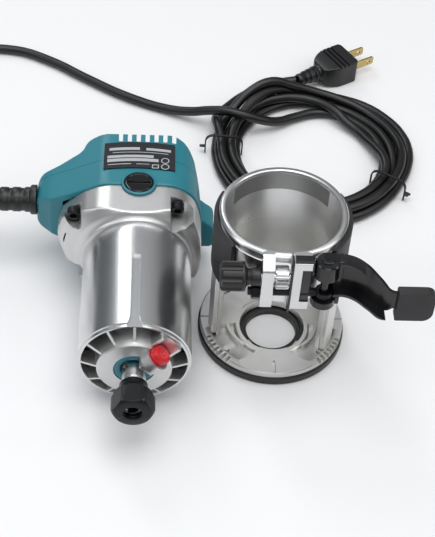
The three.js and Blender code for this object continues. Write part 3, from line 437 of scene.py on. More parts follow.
cordFacts = {
    "diameter": 0.0066,
    "length": 2.45,
    "leadRoute": [  # millimetres: from the guard down to the table, out to the left, and back to the coil
        (-136, 61.5, 47), (-151, 61.8, 43.3), (-167.5, 65.5, 29.5), (-180, 76, 14), (-187, 91, 6), (-190, 110, 3.7),
        (-191, 135, 3.7), (-190, 165, 3.7), (-184, 205, 3.7), (-170, 245, 3.7),
        (-148, 265, 3.7), (-123, 267, 3.7), (-95, 255, 3.7), (-68, 236, 3.7),
        (-37, 216, 3.7), (-8, 203, 4.4), (8, 196.5, 8.4), (21, 191.5, 14.0), (33, 187.5, 17.0), (45, 184.8, 15.8),
        (57, 185.5, 11.6), (69, 190.5, 6.4), (82, 198.5, 4.1), (98, 204.3, 3.7), (111, 203.5, 3.7),
    ],
    "tailRoute": [
        (26.4, 178.6, 11.6), (25.8, 194, 6.4), (34.5, 208.5, 3.8), (45.8, 221.1, 3.8), (58, 229.3, 4.6),
        (71.5, 233.2, 6.9), (84.6, 234.4, 9.0),
    ],
}
coilFacts = {
    "middle": (90, 158),
    "start": 62,  # degrees, where the lead joins the turns
    "finish": 174,  # where the last turn leaves for the plug
    "turns": 4,  # whole turns, besides the stretch from start to finish
    "pointsPerTurn": 24,
    "bunched": [52.0, 58.8, 55.4, 65.6, 62.2],  # how far out each turn lies where the bundle is tied
    "fanned": [50.4, 57.2, 43.6, 70.8, 64.0],  # and where it spreads flat
    "fanMiddle": 32,
    "fanWidth": 62,
    "floor": 3.7,
}


def easeStep(t):
    t = min(1, max(0, t))
    return t * t * (3 - 2 * t)


def fanShare(degrees):
    away = abs((degrees - coilFacts["fanMiddle"] + 180) % 360 - 180)
    return 1 - easeStep((away - 12) / (coilFacts["fanWidth"] - 12))


def coilRoute():
    # each turn rests on the table or on the turns laid before it
    start, thick = coilFacts["start"], cordFacts["diameter"] / mm
    sweep = coilFacts["turns"] * 360 + (start - coilFacts["finish"]) % 360
    count = round(sweep / 360 * coilFacts["pointsPerTurn"])
    step = sweep / count
    laid = []
    points = []
    for i in range(count + 1):
        swept = i * step
        degrees = start - swept
        turn = min(int(swept // 360), 4)
        within = swept - turn * 360
        change = easeStep((within - 268) / 78)  # moves over to the next turn's place late in each turn
        after = min(turn + 1, 4)
        share = fanShare(degrees)
        here, there = (
            coilFacts["bunched"][k] * (1 - share) + coilFacts["fanned"][k] * share for k in (turn, after)
        )
        out = here * (1 - change) + there * change + 0.9 * sin(radians(3 * degrees + 40))
        height = coilFacts["floor"]
        for otherSwept, otherOut, otherHeight in laid:
            apart = (swept - otherSwept) % 360
            if min(apart, 360 - apart) > 0.75 * step or swept - otherSwept < 180:
                continue
            gap = abs(out - otherOut)
            if gap < thick:
                height = max(height, otherHeight + sqrt(thick * thick - gap * gap))
        laid.append((swept, out, height))
        points.append([out, radians(degrees), height])
    for _ in range(3):  # the cord is stiff, so it bridges small steps
        heights = [p[2] for p in points]
        for i in range(1, count):
            points[i][2] = max(heights[i], (heights[i - 1] + 2 * heights[i] + heights[i + 1]) / 4)
    cx, cy = coilFacts["middle"]
    return [(cx + out * cos(a), cy + out * sin(a), height) for out, a, height in points]


def makeCord():
    lead, tail = cordFacts["leadRoute"], cordFacts["tailRoute"]
    route = lead[:-1] + coilRoute() + tail
    data = bpy.data.curves.new("cord", "CURVE")
    data.dimensions = "3D"
    data.bevel_depth = cordFacts["diameter"] / 2
    data.bevel_resolution = 4
    data.resolution_u = 5
    data.use_fill_caps = True
    spline = data.splines.new("BEZIER")
    spline.bezier_points.add(len(route) - 1)
    for knot, place in zip(spline.bezier_points, route):
        knot.co = Vector(place) * mm
        knot.handle_left_type = knot.handle_right_type = "AUTO"
    cord = bpy.data.objects.new("cord", data)
    bpy.context.scene.collection.objects.link(cord)
    data.materials.append(materials["cordSheath"])
    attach(cord, "motor")
    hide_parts("cord_lead", "cord_coil", "cord_tail")
    return cord


cord = makeCord()
print("cord laid")


# modelling helpers: shapes are made in millimetres about a unit's own frame, then placed by finishPiece
axisOf = {"x": Vector((1, 0, 0)), "y": Vector((0, 1, 0)), "z": Vector((0, 0, 1))}


def toWork(shape):
    bmesh.ops.remove_doubles(shape, verts=shape.verts, dist=0.0005)
    bmesh.ops.dissolve_degenerate(shape, edges=shape.edges, dist=0.0001)
    bmesh.ops.recalc_face_normals(shape, faces=shape.faces)
    mesh = bpy.data.meshes.new("work")
    shape.to_mesh(mesh)
    shape.free()
    work = bpy.data.objects.new("work", mesh)
    bpy.context.scene.collection.objects.link(work)
    return work


def settle(work):
    bpy.context.view_layer.update()
    graph = bpy.context.evaluated_depsgraph_get()
    mesh = bpy.data.meshes.new_from_object(work.evaluated_get(graph))
    work.modifiers.clear()
    raw = work.data
    work.data = mesh
    bpy.data.meshes.remove(raw)
    return work


def combine(first, operation, others):
    for other in others:
        step = first.modifiers.new("combine", "BOOLEAN")
        step.operation = operation
        step.solver = "EXACT"
        step.object = other
    settle(first)
    for other in others:
        bpy.data.objects.remove(other)
    return first


def join(first, *others):
    return combine(first, "UNION", others)


def cut(first, *others):
    return combine(first, "DIFFERENCE", others)


def common(first, *others):
    return combine(first, "INTERSECT", others)


def block(low, high, edge=0.0):
    shape = bmesh.new()
    low, high = Vector(low), Vector(high)
    fit = Matrix.Translation((low + high) / 2) @ Matrix.Diagonal((*(high - low), 1))
    bmesh.ops.create_cube(shape, size=1, matrix=fit)
    if edge:
        bmesh.ops.bevel(
            shape, geom=shape.edges[:], offset=edge, segments=3, profile=0.5, affect="EDGES", material=-1
        )
    return toWork(shape)


def lathe(profile, axis="y", steps=96):
    # profile lists (radius, station); it either meets the axis at both ends or is closed here
    shape = bmesh.new()
    place = {"x": lambda r, s: (s, r, 0), "y": lambda r, s: (r, s, 0), "z": lambda r, s: (r, 0, s)}[axis]
    corners = [shape.verts.new(place(r, s)) for r, s in profile]
    for first, second in zip(corners, corners[1:]):
        shape.edges.new((first, second))
    if min(r for r, s in profile) > 0:
        shape.edges.new((corners[-1], corners[0]))
    bmesh.ops.spin(
        shape, geom=shape.verts[:] + shape.edges[:], cent=(0, 0, 0), axis=axisOf[axis], angle=tau,
        steps=steps, use_merge=True, use_duplicate=False,
    )
    return toWork(shape)


def disc(radius, start, end, axis="z", steps=48):
    return lathe([(0, start), (radius, start), (radius, end), (0, end)], axis, steps)


def movedOut(shape, grown, way):
    verts = [item for item in grown["geom"] if isinstance(item, bmesh.types.BMVert)]
    bmesh.ops.translate(shape, verts=verts, vec=way)


def prism(corners, axis, start, end):
    # corners are (a, b) or (a, b, fillet) in the plane across the axis
    shape = bmesh.new()
    place = {"x": lambda a, b: (start, a, b), "y": lambda a, b: (a, start, b), "z": lambda a, b: (a, b, start)}[axis]
    verts = [shape.verts.new(place(*corner[:2])) for corner in corners]
    shape.faces.new(verts)
    for fillet in sorted({corner[2] for corner in corners if len(corner) > 2 and corner[2]}, reverse=True):
        chosen = [v for v, corner in zip(verts, corners) if len(corner) > 2 and corner[2] == fillet]
        bmesh.ops.bevel(
            shape, geom=chosen, offset=fillet, segments=6, profile=0.5, affect="VERTICES",
            material=-1, clamp_overlap=True,
        )
    movedOut(shape, bmesh.ops.extrude_face_region(shape, geom=shape.faces[:]), axisOf[axis] * (end - start))
    return toWork(shape)


def shifted(work, *places):
    work.data.transform(Matrix.Translation(places))
    return work


def turned(work, degrees, axis, middle=(0, 0, 0)):
    middle = Vector(middle)
    turn = Matrix.Rotation(radians(degrees), 4, axis.upper())
    work.data.transform(Matrix.Translation(middle) @ turn @ Matrix.Translation(-middle))
    return work


def softened(work, size, passes):
    remesh = work.modifiers.new("remesh", "REMESH")
    remesh.mode = "VOXEL"
    remesh.voxel_size = size
    smooth = work.modifiers.new("smooth", "SMOOTH")
    smooth.factor = 0.5
    smooth.iterations = passes
    return settle(work)


def finishPiece(work, name, body, finish, place, edge=0.25, replaced=(), angle=32, steps=2):
    shape = bmesh.new()
    shape.from_mesh(work.data)
    bpy.data.objects.remove(work)
    bmesh.ops.transform(shape, matrix=place, verts=shape.verts)
    bmesh.ops.remove_doubles(shape, verts=shape.verts, dist=2e-6)
    bmesh.ops.dissolve_degenerate(shape, edges=shape.edges, dist=1e-6)
    bmesh.ops.recalc_face_normals(shape, faces=shape.faces)
    mesh = bpy.data.meshes.new(name)
    shape.to_mesh(mesh)
    shape.free()
    mesh.materials.append(materials[finish])
    mesh.shade_smooth()
    mesh.set_sharp_from_angle(angle=radians(angle))
    piece = bpy.data.objects.new(name, mesh)
    bpy.context.scene.collection.objects.link(piece)
    if edge:
        rounding = piece.modifiers.new("rounding", "BEVEL")
        rounding.width = edge * mm
        rounding.segments = steps
        rounding.limit_method = "ANGLE"
        rounding.angle_limit = radians(angle)
        rounding.use_clamp_overlap = True
    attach(piece, body)
    if replaced:
        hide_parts(*replaced)
    return piece


barrelFacts = {
    "radius": 32.4, "bore": 29.7, "end": 83,
    "keyHalf": 2.5, "keyDepth": 1.5, "keyEnd": 54, "keyFlare": 5.4,
}


def makeBarrel():
    b = barrelFacts
    radius, bore = b["radius"], b["bore"]
    tube = lathe([
        (bore, 0.8), (bore + 0.5, 0), (radius - 1.3, 0), (radius - 0.9, 0.4), (radius - 0.8, 1.6),
        (radius, 2.0), (radius, b["end"]), (bore, b["end"]),
    ], "y", 144)
    half, flare, floor = b["keyHalf"], b["keyFlare"], radius - b["keyDepth"]
    keyway = prism([
        (-half, b["keyEnd"], 0.8), (half, b["keyEnd"], 0.8), (half, 7, 1.5), (flare, -2), (-flare, -2),
        (-half, 7, 1.5),
    ], "z", floor, radius + 2)
    seat = block((-4.3, 7, -radius - 1), (4.3, 74, -bore - 0.4))
    finishPiece(
        cut(tube, keyway, seat), "barrel_tube", "motor", "turnedAluminium", motorFrame,
        edge=0.12, replaced=("motor_housing",),
    )


hubFacts = {
    "radius": 21.3, "front": -5.0, "back": 9.0, "shaftBore": 7.8, "bearingBore": 13.1,
    "ribs": 12, "ribHalf": 0.75, "lockAngle": 46, "lockAt": -6.6,
}


def placeLock(work):
    # moves a shape made along X onto the lock's radial axis
    turned(work, -90, "x")
    turned(work, -hubFacts["lockAngle"], "y")
    return shifted(work, 0, hubFacts["lockAt"], 0)


def makeHub():
    h = hubFacts
    front, radius = h["front"], h["radius"]
    hub = lathe([
        (h["shaftBore"], front + 2.6), (11.8, front + 2.6), (11.8, front), (radius - 0.8, front),
        (radius, front + 0.8), (radius + 1.6, h["back"] + 2), (h["bearingBore"], h["back"] + 2),
        (h["bearingBore"], 2), (h["shaftBore"], 2),
    ], "y", 96)
    ribs = []
    for i in range(h["ribs"]):
        rib = prism([
            (radius - 1.0, -3.2), (radius + 1.6, -2.4, 1.5), (30.6, 0.2), (30.6, 8), (radius - 1.0, 8),
        ], "z", -h["ribHalf"], h["ribHalf"])
        ribs.append(turned(rib, 360 / h["ribs"] * i, "y"))
    boss = placeLock(join(
        block((8.6, -4.8, -5.2), (13.4, 4.8, 2.4), 0.5),
        disc(7.7, 12.6, 18.6, "x", 64),
        block((12.6, -7.4, 2.5), (29.6, 7.4, 12), 0.4),
    ))
    front = join(hub, *ribs, boss)
    pocket = placeLock(disc(6.2, 14.4, 34, "x", 64))
    pinHole = placeLock(disc(2.3, 5, 16, "x", 24))
    springSeat = placeLock(disc(4.5, 11.3, 16, "x", 48))
    shaftWay = disc(h["shaftBore"], -20, 12, "y", 64)
    finishPiece(
        cut(front, pocket, pinHole, springSeat, shaftWay), "barrel_front", "motor", "castAluminium",
        motorFrame, edge=0.22, replaced=("motor_housing",),
    )


bellFacts = {
    "section": [  # corners across the axis, clockwise from the top left: x, z, fillet
        (-21, 38, 5), (20, 38, 5), (31.5, 32.5, 7), (38.5, 15, 9), (38.5, -9, 9), (33, -27, 6),
        (14, -36, 8), (-14, -36, 8), (-31, -26, 9), (-45, -6, 12), (-49, 8, 8), (-45.5, 21, 8), (-33, 32, 8),
    ],
    "shoulder": [
        (33.2, 79.2), (34.2, 79.4), (34.6, 80.6), (35.6, 81.6), (38.6, 83.0), (43, 86.6), (47.5, 91.5), (52, 98),
        (60, 107),
    ],
    "front": 79.2, "back": 106.0, "voxel": 0.62, "passes": 7,
    "screws": [(23.5, 30.6), (-38.5, 24.6), (-37, -12), (29, -21.5)],
}


def insetCorners(corners, share):
    return [(a * share, b * share, *rest) for a, b, *rest in corners]


def makeBell():
    f = bellFacts
    turnedBody = lathe([(0, f["front"]), *f["shoulder"], (0, f["back"] + 1)], "y", 128)
    outer = common(turnedBody, prism(f["section"], "y", f["front"] - 4, f["back"]))
    softened(outer, f["voxel"], f["passes"])
    # the hollow leaves the four corners solid behind the screw heads
    corners = [
        block((15, 80, 20.5), (60, 130, 60)), block((-60, 80, 13), (-30.5, 130, 60)),
        block((-60, 80, -22), (-30.5, 130, -3.5)), block((21, 80, -60), (60, 130, -13.5)),
    ]
    hollow = cut(prism(insetCorners(f["section"], 0.92), "y", 88.5, f["back"] + 6), *corners)
    outlines = [
        [(19.0, 46), (42, 46), (37, 30.5, 2), (31.5, 26.5, 3), (27, 25, 2), (19.0, 25.5, 2)],
        [(-47, 42), (-33.8, 42), (-33.4, 21, 2.5), (-40, 19, 3), (-54, 30)],
        [(-54, -7), (-33, -6.5, 2), (-31.6, -15, 2), (-37, -20), (-54, -20)],
        [(42, -17), (26, -16.4, 2), (24.4, -24, 2), (30, -40), (42, -40)],
    ]
    seats = [prism(corner, "y", 70, 97.3) for corner in outlines]
    shell = cut(outer, hollow, disc(29.7, 70, 120, "y", 96), *seats)
    brushSeats = [disc(10.7, 26, 60, "z", 64), disc(10.7, -60, -26, "z", 64)]
    for seat in brushSeats:
        shifted(seat, 0, 107, 0)
    finishPiece(
        cut(shell, *brushSeats), "bell_casting", "motor", "castAluminium", motorFrame,
        edge=0, replaced=("motor_housing",), angle=38,
    )


def makeHousingScrews():
    for i, (x, z) in enumerate(bellFacts["screws"]):
        screw = lathe([
            (0, 94), (1.9, 94), (1.9, 92.4), (2.2, 91.9), (3.3, 91.9), (3.9, 92.5), (3.9, 97), (1.9, 97), (1.9, 120),
            (0, 120),
        ], "y", 40)
        socket = disc(1.9, 91, 94.2, "y", 6)
        finishPiece(
            shifted(cut(screw, socket), x, 0, z), f"bell_screw_{i + 1}", "motor", "blackOxide",
            motorFrame, edge=0.12, replaced=(f"housing_screw_{i + 1}",),
        )


shellFacts = {
    "section": [
        (-21, 38.4, 4), (20, 38.4, 4), (32, 33, 7), (39, 15, 9), (39, -9, 9), (33, -27, 6),
        (14, -35.6, 8), (-14, -35.6, 8), (-33, -24, 9), (-48, -7, 8), (-60, -3, 4), (-62.3, 1, 3),
        (-62.3, 18, 4), (-57, 22.5, 4), (-35, 32, 8),
    ],
    "plan": [  # seen from above
        (-28, 152, 4), (25, 152, 5), (33, 144, 6), (37.5, 124, 10), (39.2, 102), (-48, 102),
        (-56, 108.5, 3), (-62.5, 111, 3), (-62.5, 132, 5), (-50, 135, 4), (-35, 142, 4), (-33, 149, 4),
    ],
    "bulge": [(28, 8), (37, 8, 3), (47, -0.5, 3), (47, -17, 3), (30, -18)],
    "front": 106.3, "seam": 128.05, "back": 152, "voxel": 0.62, "passes": 6,
    "ventFirst": -13.2, "ventPitch": 5.5, "ventWidth": 2.6,
}


def shellSolid():
    f = shellFacts
    body = common(prism(f["section"], "y", f["front"], f["back"]), prism(f["plan"], "z", -60, 60))
    bulge = prism(f["bulge"], "y", 110, f["seam"] - 0.2)
    return softened(join(body, bulge), f["voxel"], f["passes"])


def makeShell():
    f = shellFacts
    collars = [
        lathe([(8.9, 30), (10.4, 30), (10.4, 39.4), (9.9, 39.8), (9.3, 39.8), (8.9, 39.4)], "z", 64),
        lathe([(8.9, -35.6), (10.4, -35.6), (10.4, -30), (8.9, -30)], "z", 64),
    ]
    for collar in collars:
        shifted(collar, 0, 107, 0)
    for name, node, low, high in (
        ("brush_shell", "brush_housing", f["front"], f["seam"] - 0.12),
        ("rear_cover", "top_cover", f["seam"] + 0.12, 160),
    ):
        solid = common(shellSolid(), block((-80, low, -60), (60, high, 60)))
        if node == "brush_housing":
            inside = prism([
                (-59, 200), (60, 200), (36, 130), (36.4, 100), (-45, 100), (-46.5, 111.5), (-59, 113),
            ], "z", -60, 60)
            hollow = common(prism(insetCorners(f["section"], 0.9), "y", low - 2, high + 2), inside)
            holes = [
                shifted(disc(8.9, -60, 60, "z", 64), 0, 107, 0), shifted(disc(4.4, -80, -40, "x", 32), 0, 119.5, 11),
            ]
            rocker = block((36, 111.6, -15.2), (60, 124.8, -1.8), 0.4)
            recess = prism([(-20.9, 141.3), (20.9, 141.3), (20.9, 118.2), (-20.9, 118.2)], "z", 37.9, 50)
            work = join(cut(solid, hollow, *holes), *collars)
            work = cut(work, rocker, recess)
        else:
            hollow = common(
                prism(insetCorners(f["section"], 0.9), "y", low - 2, 148.6),
                prism(insetCorners(f["plan"], 0.955), "z", -60, 60),
            )
            slots = []
            for i in range(7):
                x = f["ventFirst"] + i * f["ventPitch"]
                slot = prism([(144.8, 31, 1), (156, 31), (156, 52), (144.8, 52)], "x", x, x + f["ventWidth"])
                slots.append(slot)
            for i in range(6):  # slots in the rear face
                x = -18 + i * 7
                slots.append(block((x, 144, -22), (x + 3.5, 160, 14), 0.6))
            work = cut(cut(solid, hollow), *slots)
        finishPiece(
            work, name, "motor", "tealShell", motorFrame, edge=0, replaced=(node,), angle=40,
        )


labelFacts = {"half": 21.6, "rear": 141.6, "front": 118.6, "bow": 2.2, "z": 38.55, "thickness": 0.5}


def bowedStrip(left, right, front, rear, low, high):
    # a strip seen from above whose long edges bow to the rear in the middle, as the label does
    shape = bmesh.new()
    half, bow, count = labelFacts["half"], labelFacts["bow"], 16
    for share in [i / count for i in range(count + 1)]:
        x = left + (right - left) * share
        lift = bow * (1 - (2 * ((x + half) / (2 * half)) - 1) ** 2)
        shape.verts.new((x, front + lift, low))
    shape.verts.ensure_lookup_table()
    for i in range(count):
        shape.edges.new((shape.verts[i], shape.verts[i + 1]))
    movedOut(shape, bmesh.ops.extrude_edge_only(shape, edges=shape.edges[:]), (0, rear - front, 0))
    movedOut(shape, bmesh.ops.extrude_face_region(shape, geom=shape.faces[:]), (0, 0, high - low))
    return toWork(shape)


def makeLabel():
    f = labelFacts
    z, top = f["z"], f["z"] + f["thickness"]
    plate = bowedStrip(-f["half"], f["half"], f["front"], f["rear"], z - 0.8, top)
    finishPiece(
        plate, "label_plate", "motor", "labelInk", motorFrame, edge=0.15, replaced=("nameplate",),
        angle=50,
    )
    marks = [  # plain bars and outline badges where the real plate is printed
        (-19.5, 8.5, 127.4, 129.7), (-19.5, 11.5, 124.0, 126.6), (-18.5, 0.0, 134.2, 136.6),
        (4.0, 19.0, 134.0, 136.2), (-16.5, 17.5, 131.9, 132.4), (-19.0, -5.0, 121.3, 121.9), (-2.0, 6.0, 121.2, 121.7),
    ]
    sunk, proud = top - 0.05, top + 0.06
    strips = [bowedStrip(*mark, sunk, proud) for mark in marks]
    for x, y in ((15.6, 127.0), (15.6, 121.6)):
        badge = lathe([(1.9, sunk), (2.5, sunk), (2.5, proud), (1.9, proud)], "z", 48)
        strips.append(shifted(badge, x, y, 0))
    strips.append(cut(block((7.6, 120.0, sunk), (11.8, 123.4, proud)), block((8.2, 120.6, 30), (11.2, 122.8, 50))))
    finishPiece(
        join(*strips), "label_marks", "motor", "labelSilver", motorFrame, edge=0, angle=50,
    )


def makeBrushCap():
    cap = lathe([
        (0, 26), (6.2, 26), (6.2, 31.4), (8.5, 31.4), (8.5, 39.2), (8.0, 39.8), (7.4, 39.9), (7.0, 39.5), (4, 39.3),
        (0, 39.25),
    ], "z", 72)
    slot = block((-0.85, -7.2, 38.0), (0.85, 7.2, 45), 0.2)
    turned(slot, 90, "z")
    shifted(cut(cap, slot), 0, 107, 0)
    finishPiece(
        cap, "brush_cap_gloss", "motor", "capGloss", motorFrame, edge=0.15,
        replaced=("brush_cap_upper",),
    )


def makeGuard():
    profile = [(3.9, -62.6), (9.2, -62.6), (9.2, -65.6), (8.6, -66.4), (7.8, -66.8)]
    for i in range(5):  # grooves, each a little slimmer than the one before
        start, slim = -69.5 - i * 7.5, i * 0.12
        profile += [(7.7 - slim, start), (7.1 - slim, start - 0.7), (7.1 - slim, start - 2.6)]
        profile.append((7.6 - slim, start - 3.3))
    profile += [(6.9, -106.2), (6.3, -108.1), (5.2, -108.5), (3.9, -108.5)]
    guard = shifted(lathe(profile, "x", 56), 0, 119.5, 11)
    finishPiece(
        guard, "cord_sleeve", "motor", "guardRubber", motorFrame, edge=0.15, replaced=("cord_guard",),
        angle=50,
    )


def makeSpindle():
    body = lathe([
        (0, -13), (4.4, -13), (4.6, -16), (5.2, -24.5), (6.3, -24.5), (6.3, -14.6), (6.8, -14), (6.8, 1.9), (5, 1.9),
        (5, 11), (5.6, 11.4), (5.6, 26), (6, 26.4), (6, 92), (5, 92.4), (5, 117.8), (4, 118.2), (4, 126.4),
        (0, 126.4),
    ], "y", 64)
    lockAt, across = hubFacts["lockAt"], 90 - hubFacts["lockAngle"]
    holes = [disc(2.6, -12, 12, "x", 32) for _ in range(2)]
    placeLock(holes[0])
    turned(shifted(holes[1], 0, lockAt, 0), across, "y")
    finishPiece(
        cut(body, *holes), "spindle_turned", "spindle", "brightSteel", motorFrame, edge=0.2,
        replaced=("armature_shaft",),
    )
    seal = lathe([(8, -4.5), (9, -5.1), (10.6, -5.1), (11.5, -4.6), (11.5, -2.7), (8, -2.7)], "y", 64)
    finishPiece(
        seal, "seal_ring", "motor", "tealShell", motorFrame, edge=0.12, replaced=("bearing_seal",),
    )


def makeNut():
    blank = lathe([
        (7, -16), (7.7, -16), (8, -16.3), (8, -19.4), (8.4, -20.2), (12.2, -25.0), (12.25, -33.6), (11.7, -34.6),
        (10.6, -35.6), (9.8, -36), (5.5, -36), (5.2, -35.7), (5.2, -33.4), (7, -33.4),
    ], "y", 96)
    hexagon = lathe([(0, -50), (12.36, -50), (12.36, -10), (0, -10)], "y", 6)
    finishPiece(
        common(blank, hexagon), "nut_machined", "nut_body", "blackOxide", motorFrame, edge=0.3,
        replaced=("collet_nut",),
    )


def makeLockButton():
    body = lathe([
        (0, 15.5), (3.9, 15.5), (3.9, 18.4), (5.7, 18.4), (5.75, 22.2), (5.4, 22.9), (4.8, 23.15), (2.3, 23.2),
        (1.7, 22.9), (1.2, 22.3), (0, 22.1),
    ], "x", 72)
    finishPiece(
        placeLock(body), "lock_button_red", "spindle_lock", "redButton", motorFrame, edge=0.12,
        replaced=("lock_button",),
    )


sleeveFacts = {"bore": 32.5, "radius": 36.3, "bottom": 64, "top": 101.5}


def ringSector(inner, outer, low, high, start, end):
    # part of a ring about Z between two angles in degrees
    shape = bmesh.new()
    corners = [shape.verts.new((r, 0, z)) for r, z in ((inner, low), (outer, low), (outer, high), (inner, high))]
    shape.faces.new(corners)
    bmesh.ops.rotate(shape, verts=shape.verts, cent=(0, 0, 0), matrix=Matrix.Rotation(radians(start), 3, "Z"))
    bmesh.ops.spin(
        shape, geom=shape.faces[:], cent=(0, 0, 0), axis=(0, 0, 1), angle=radians(end - start),
        steps=max(2, round((end - start) / 3)), use_merge=False, use_duplicate=False,
    )
    return toWork(shape)


def makeSleeve():
    f = sleeveFacts
    bore, radius, low, top = f["bore"], f["radius"], f["bottom"], f["top"]
    tube = lathe([
        (bore, low + 0.5), (bore + 0.5, low), (radius - 0.6, low), (radius, low + 0.6), (radius, 94.6),
        (radius - 0.9, 95.0), (radius - 0.9, 96.4), (radius - 0.1, 97.0), (radius + 0.3, 98.4),
        (radius + 0.3, top - 1.4), (radius - 0.5, top - 0.3), (radius - 1.2, top), (bore + 1.1, top),
        (bore + 0.4, top - 0.5), (bore, top - 1.6),
    ], "z", 144)
    leftLug = prism([
        (-33, top, 0), (-36, top, 0.6), (-42.5, 94, 1.2), (-42.5, 66.5, 2.5), (-39.5, 63.5, 1), (-33, 63.5),
    ], "x", -13.5, -6.8)
    rightLug = prism([
        (-33, top), (-42.5, top, 0.8), (-42.5, 65.5, 1.6), (-40.5, 63.5, 0.8), (-33, 63.5),
    ], "x", 3.5, 13.4)
    recess = block((8.2, -44, 71.6), (15, -38.6, 96.6), 0.4)
    slit = block((1.8, -50, 40), (3.4, -20, 110))
    pinionRoom = block((-7.0, -50, 79), (2.6, -29, 95.2))
    ways = [
        shifted(disc(2.8, -20, 9, "x", 32), 0, -38.5, 87), shifted(disc(5.7, -30, -13.7, "x", 32), 0, -38.5, 87),
        shifted(disc(2.8, -20, 20, "x", 32), 0, -39.4, 76.6),
    ]
    sleeve = cut(join(tube, leftLug, cut(rightLug, recess)), disc(bore, 0, 120, "z", 144), slit, pinionRoom, *ways)
    finishPiece(
        sleeve, "sleeve_turned", "trim_base", "sleeveAluminium", baseFrame, edge=0.18,
        replaced=("base_casting",),
    )
    # painted reflection: a thin darker band laid over the upper rear of the bore
    band = ringSector(bore - 0.12, bore + 0.3, 87.5, top - 2.0, 33, 147)
    finishPiece(band, "bore_reflection_band", "trim_base", "boreReflectionBand", baseFrame, edge=0, angle=60)
    columns = [ringSector(bore + 0.1, radius - 0.4, 6.5, 66, *span) for span in ((160, 200), (-40, 20))]
    rear = cut(
        ringSector(bore + 0.1, radius - 0.3, 8, 65, 15, 165), ringSector(bore - 3, radius + 3, 0, 26, 24.5, 155.5),
    )
    finishPiece(
        rear, "wall_rear", "trim_base", "footAluminium", baseFrame, edge=0.5,
        replaced=("base_casting",), angle=40,
    )
    fins = [ringSector(radius - 1.5, radius + 2.6, *span) for span in ((9, 60, 186, 199.6), (9, 63, -39.6, -24))]
    for column, fin, name in zip(columns, fins, ("column_left", "column_right")):
        finishPiece(
            join(column, fin), name, "trim_base", "footAluminium", baseFrame, edge=0.5,
            replaced=("base_casting",), angle=40,
        )


footFacts = {
    "radius": 43.6, "bottom": 6.0, "top": 10.0, "opening": 19.6, "openingAt": -6, "floor": 6.9,
    "screwCircle": 36.8, "screwAngles": (40, 140, 220, 320), "teeth": 7, "toothPitch": 4.6, "firstTooth": 203,
}
soleFacts = {"radius": 44.5, "thickness": 5.7, "hole": 15.3, "holeAt": -3.9}


def polar(radius, degrees):
    return radius * cos(radians(degrees)), radius * sin(radians(degrees))


def makeFoot():
    f = footFacts
    radius, low, top, opening, floor = f["radius"], f["bottom"], f["top"], f["opening"], f["floor"]
    plate = lathe([
        (0, low), (radius, low), (radius, top - 0.8), (radius - 0.6, top - 0.1), (39.6, top), (38.9, top - 0.3),
        (38.0, floor + 0.3), (37.4, floor), (0, floor),
    ], "z", 144)
    collar = lathe([(0, low), (opening + 3.4, low), (opening + 3.0, 9.4), (opening + 2.2, top), (0, top)], "z", 96)
    shifted(collar, 0, f["openingAt"], 0)
    inner = disc(43.2, 0, 20, "z", 96)
    frontPad = common(prism([
        (-9.5, -24, 1.5), (9.5, -24, 1.5), (12.5, -30.5, 2.5), (21.5, -34.5, 1.5), (18, -46), (-18, -46),
        (-21.5, -34.5, 1.5), (-12.5, -30.5, 2.5),
    ], "z", low + 0.5, top + 0.4), inner)
    pads = [
        frontPad, ringSector(18, 41, low + 0.5, top, 158, 192), ringSector(18, 41, low + 0.5, top, -12, 22),
        ringSector(15, 41, low + 0.5, top - 0.2, 68, 112),
    ]
    # raised edges that curl from the side pads round the front pockets
    pads += [ringSector(26.6, 28.4, low + 0.5, top, start, start + 40) for start in (192, 308)]
    tabs = []
    for side in (-1, 1):
        tab = block((side * 14.6 - 2.2, -23.0, low), (side * 14.6 + 2.2, -17.4, 9.0), 0.5)
        tabs.append(turned(tab, side * -32, "z", (side * 14.6, -20.2, 0)))
    mouth = shifted(disc(opening, low - 1, top + 3, "z", 96), 0, f["openingAt"], 0)
    foot = join(cut(join(plate, collar, *pads), mouth), *tabs)
    cuts = []
    for i in range(f["teeth"]):
        for degrees in (f["firstTooth"] + i * f["toothPitch"], 540 - f["firstTooth"] - i * f["toothPitch"]):
            cuts.append(turned(block((40.3, -0.95, low + 0.4), (46, 0.95, top + 2), 0.1), degrees, "z"))
    for degrees in (180, 270, 0):
        cuts.append(turned(block((34, -0.8, top - 1.7), (43.4, 0.8, top + 3), 0.15), degrees, "z"))
    for degrees in f["screwAngles"]:
        x, y = polar(f["screwCircle"], degrees)
        cuts.append(shifted(disc(2.2, 0, 20, "z", 32), x, y, 0))
    finishPiece(
        cut(foot, *cuts), "foot_plate", "trim_base", "footAluminium", baseFrame, edge=0.22,
        replaced=("base_casting",), angle=36,
    )
    outer, thick, hole = soleFacts["radius"], soleFacts["thickness"], soleFacts["hole"]
    sole = lathe([
        (0, 0), (outer - 0.8, 0), (outer, 0.8), (outer, thick - 0.8), (outer - 0.7, thick), (0, thick),
    ], "z", 144)
    ring = lathe([
        (0, -1), (hole + 0.2, -1), (hole + 0.2, 0), (hole, 0.3), (hole, 3.9), (17.9, 4.2), (17.9, 8), (0, 8),
    ], "z", 96)
    holes = [shifted(ring, 0, soleFacts["holeAt"], 0)]
    for degrees in f["screwAngles"]:
        x, y = polar(f["screwCircle"], degrees)
        holes.append(shifted(disc(2.2, -1, 8, "z", 32), x, y, 0))
        holes.append(shifted(disc(4.2, -1, 2.9, "z", 32), x, y, 0))
    finishPiece(
        cut(sole, *holes), "sole_ring", "trim_base", "blackMoulding", baseFrame, edge=0.2,
        replaced=("sub_base",),
    )


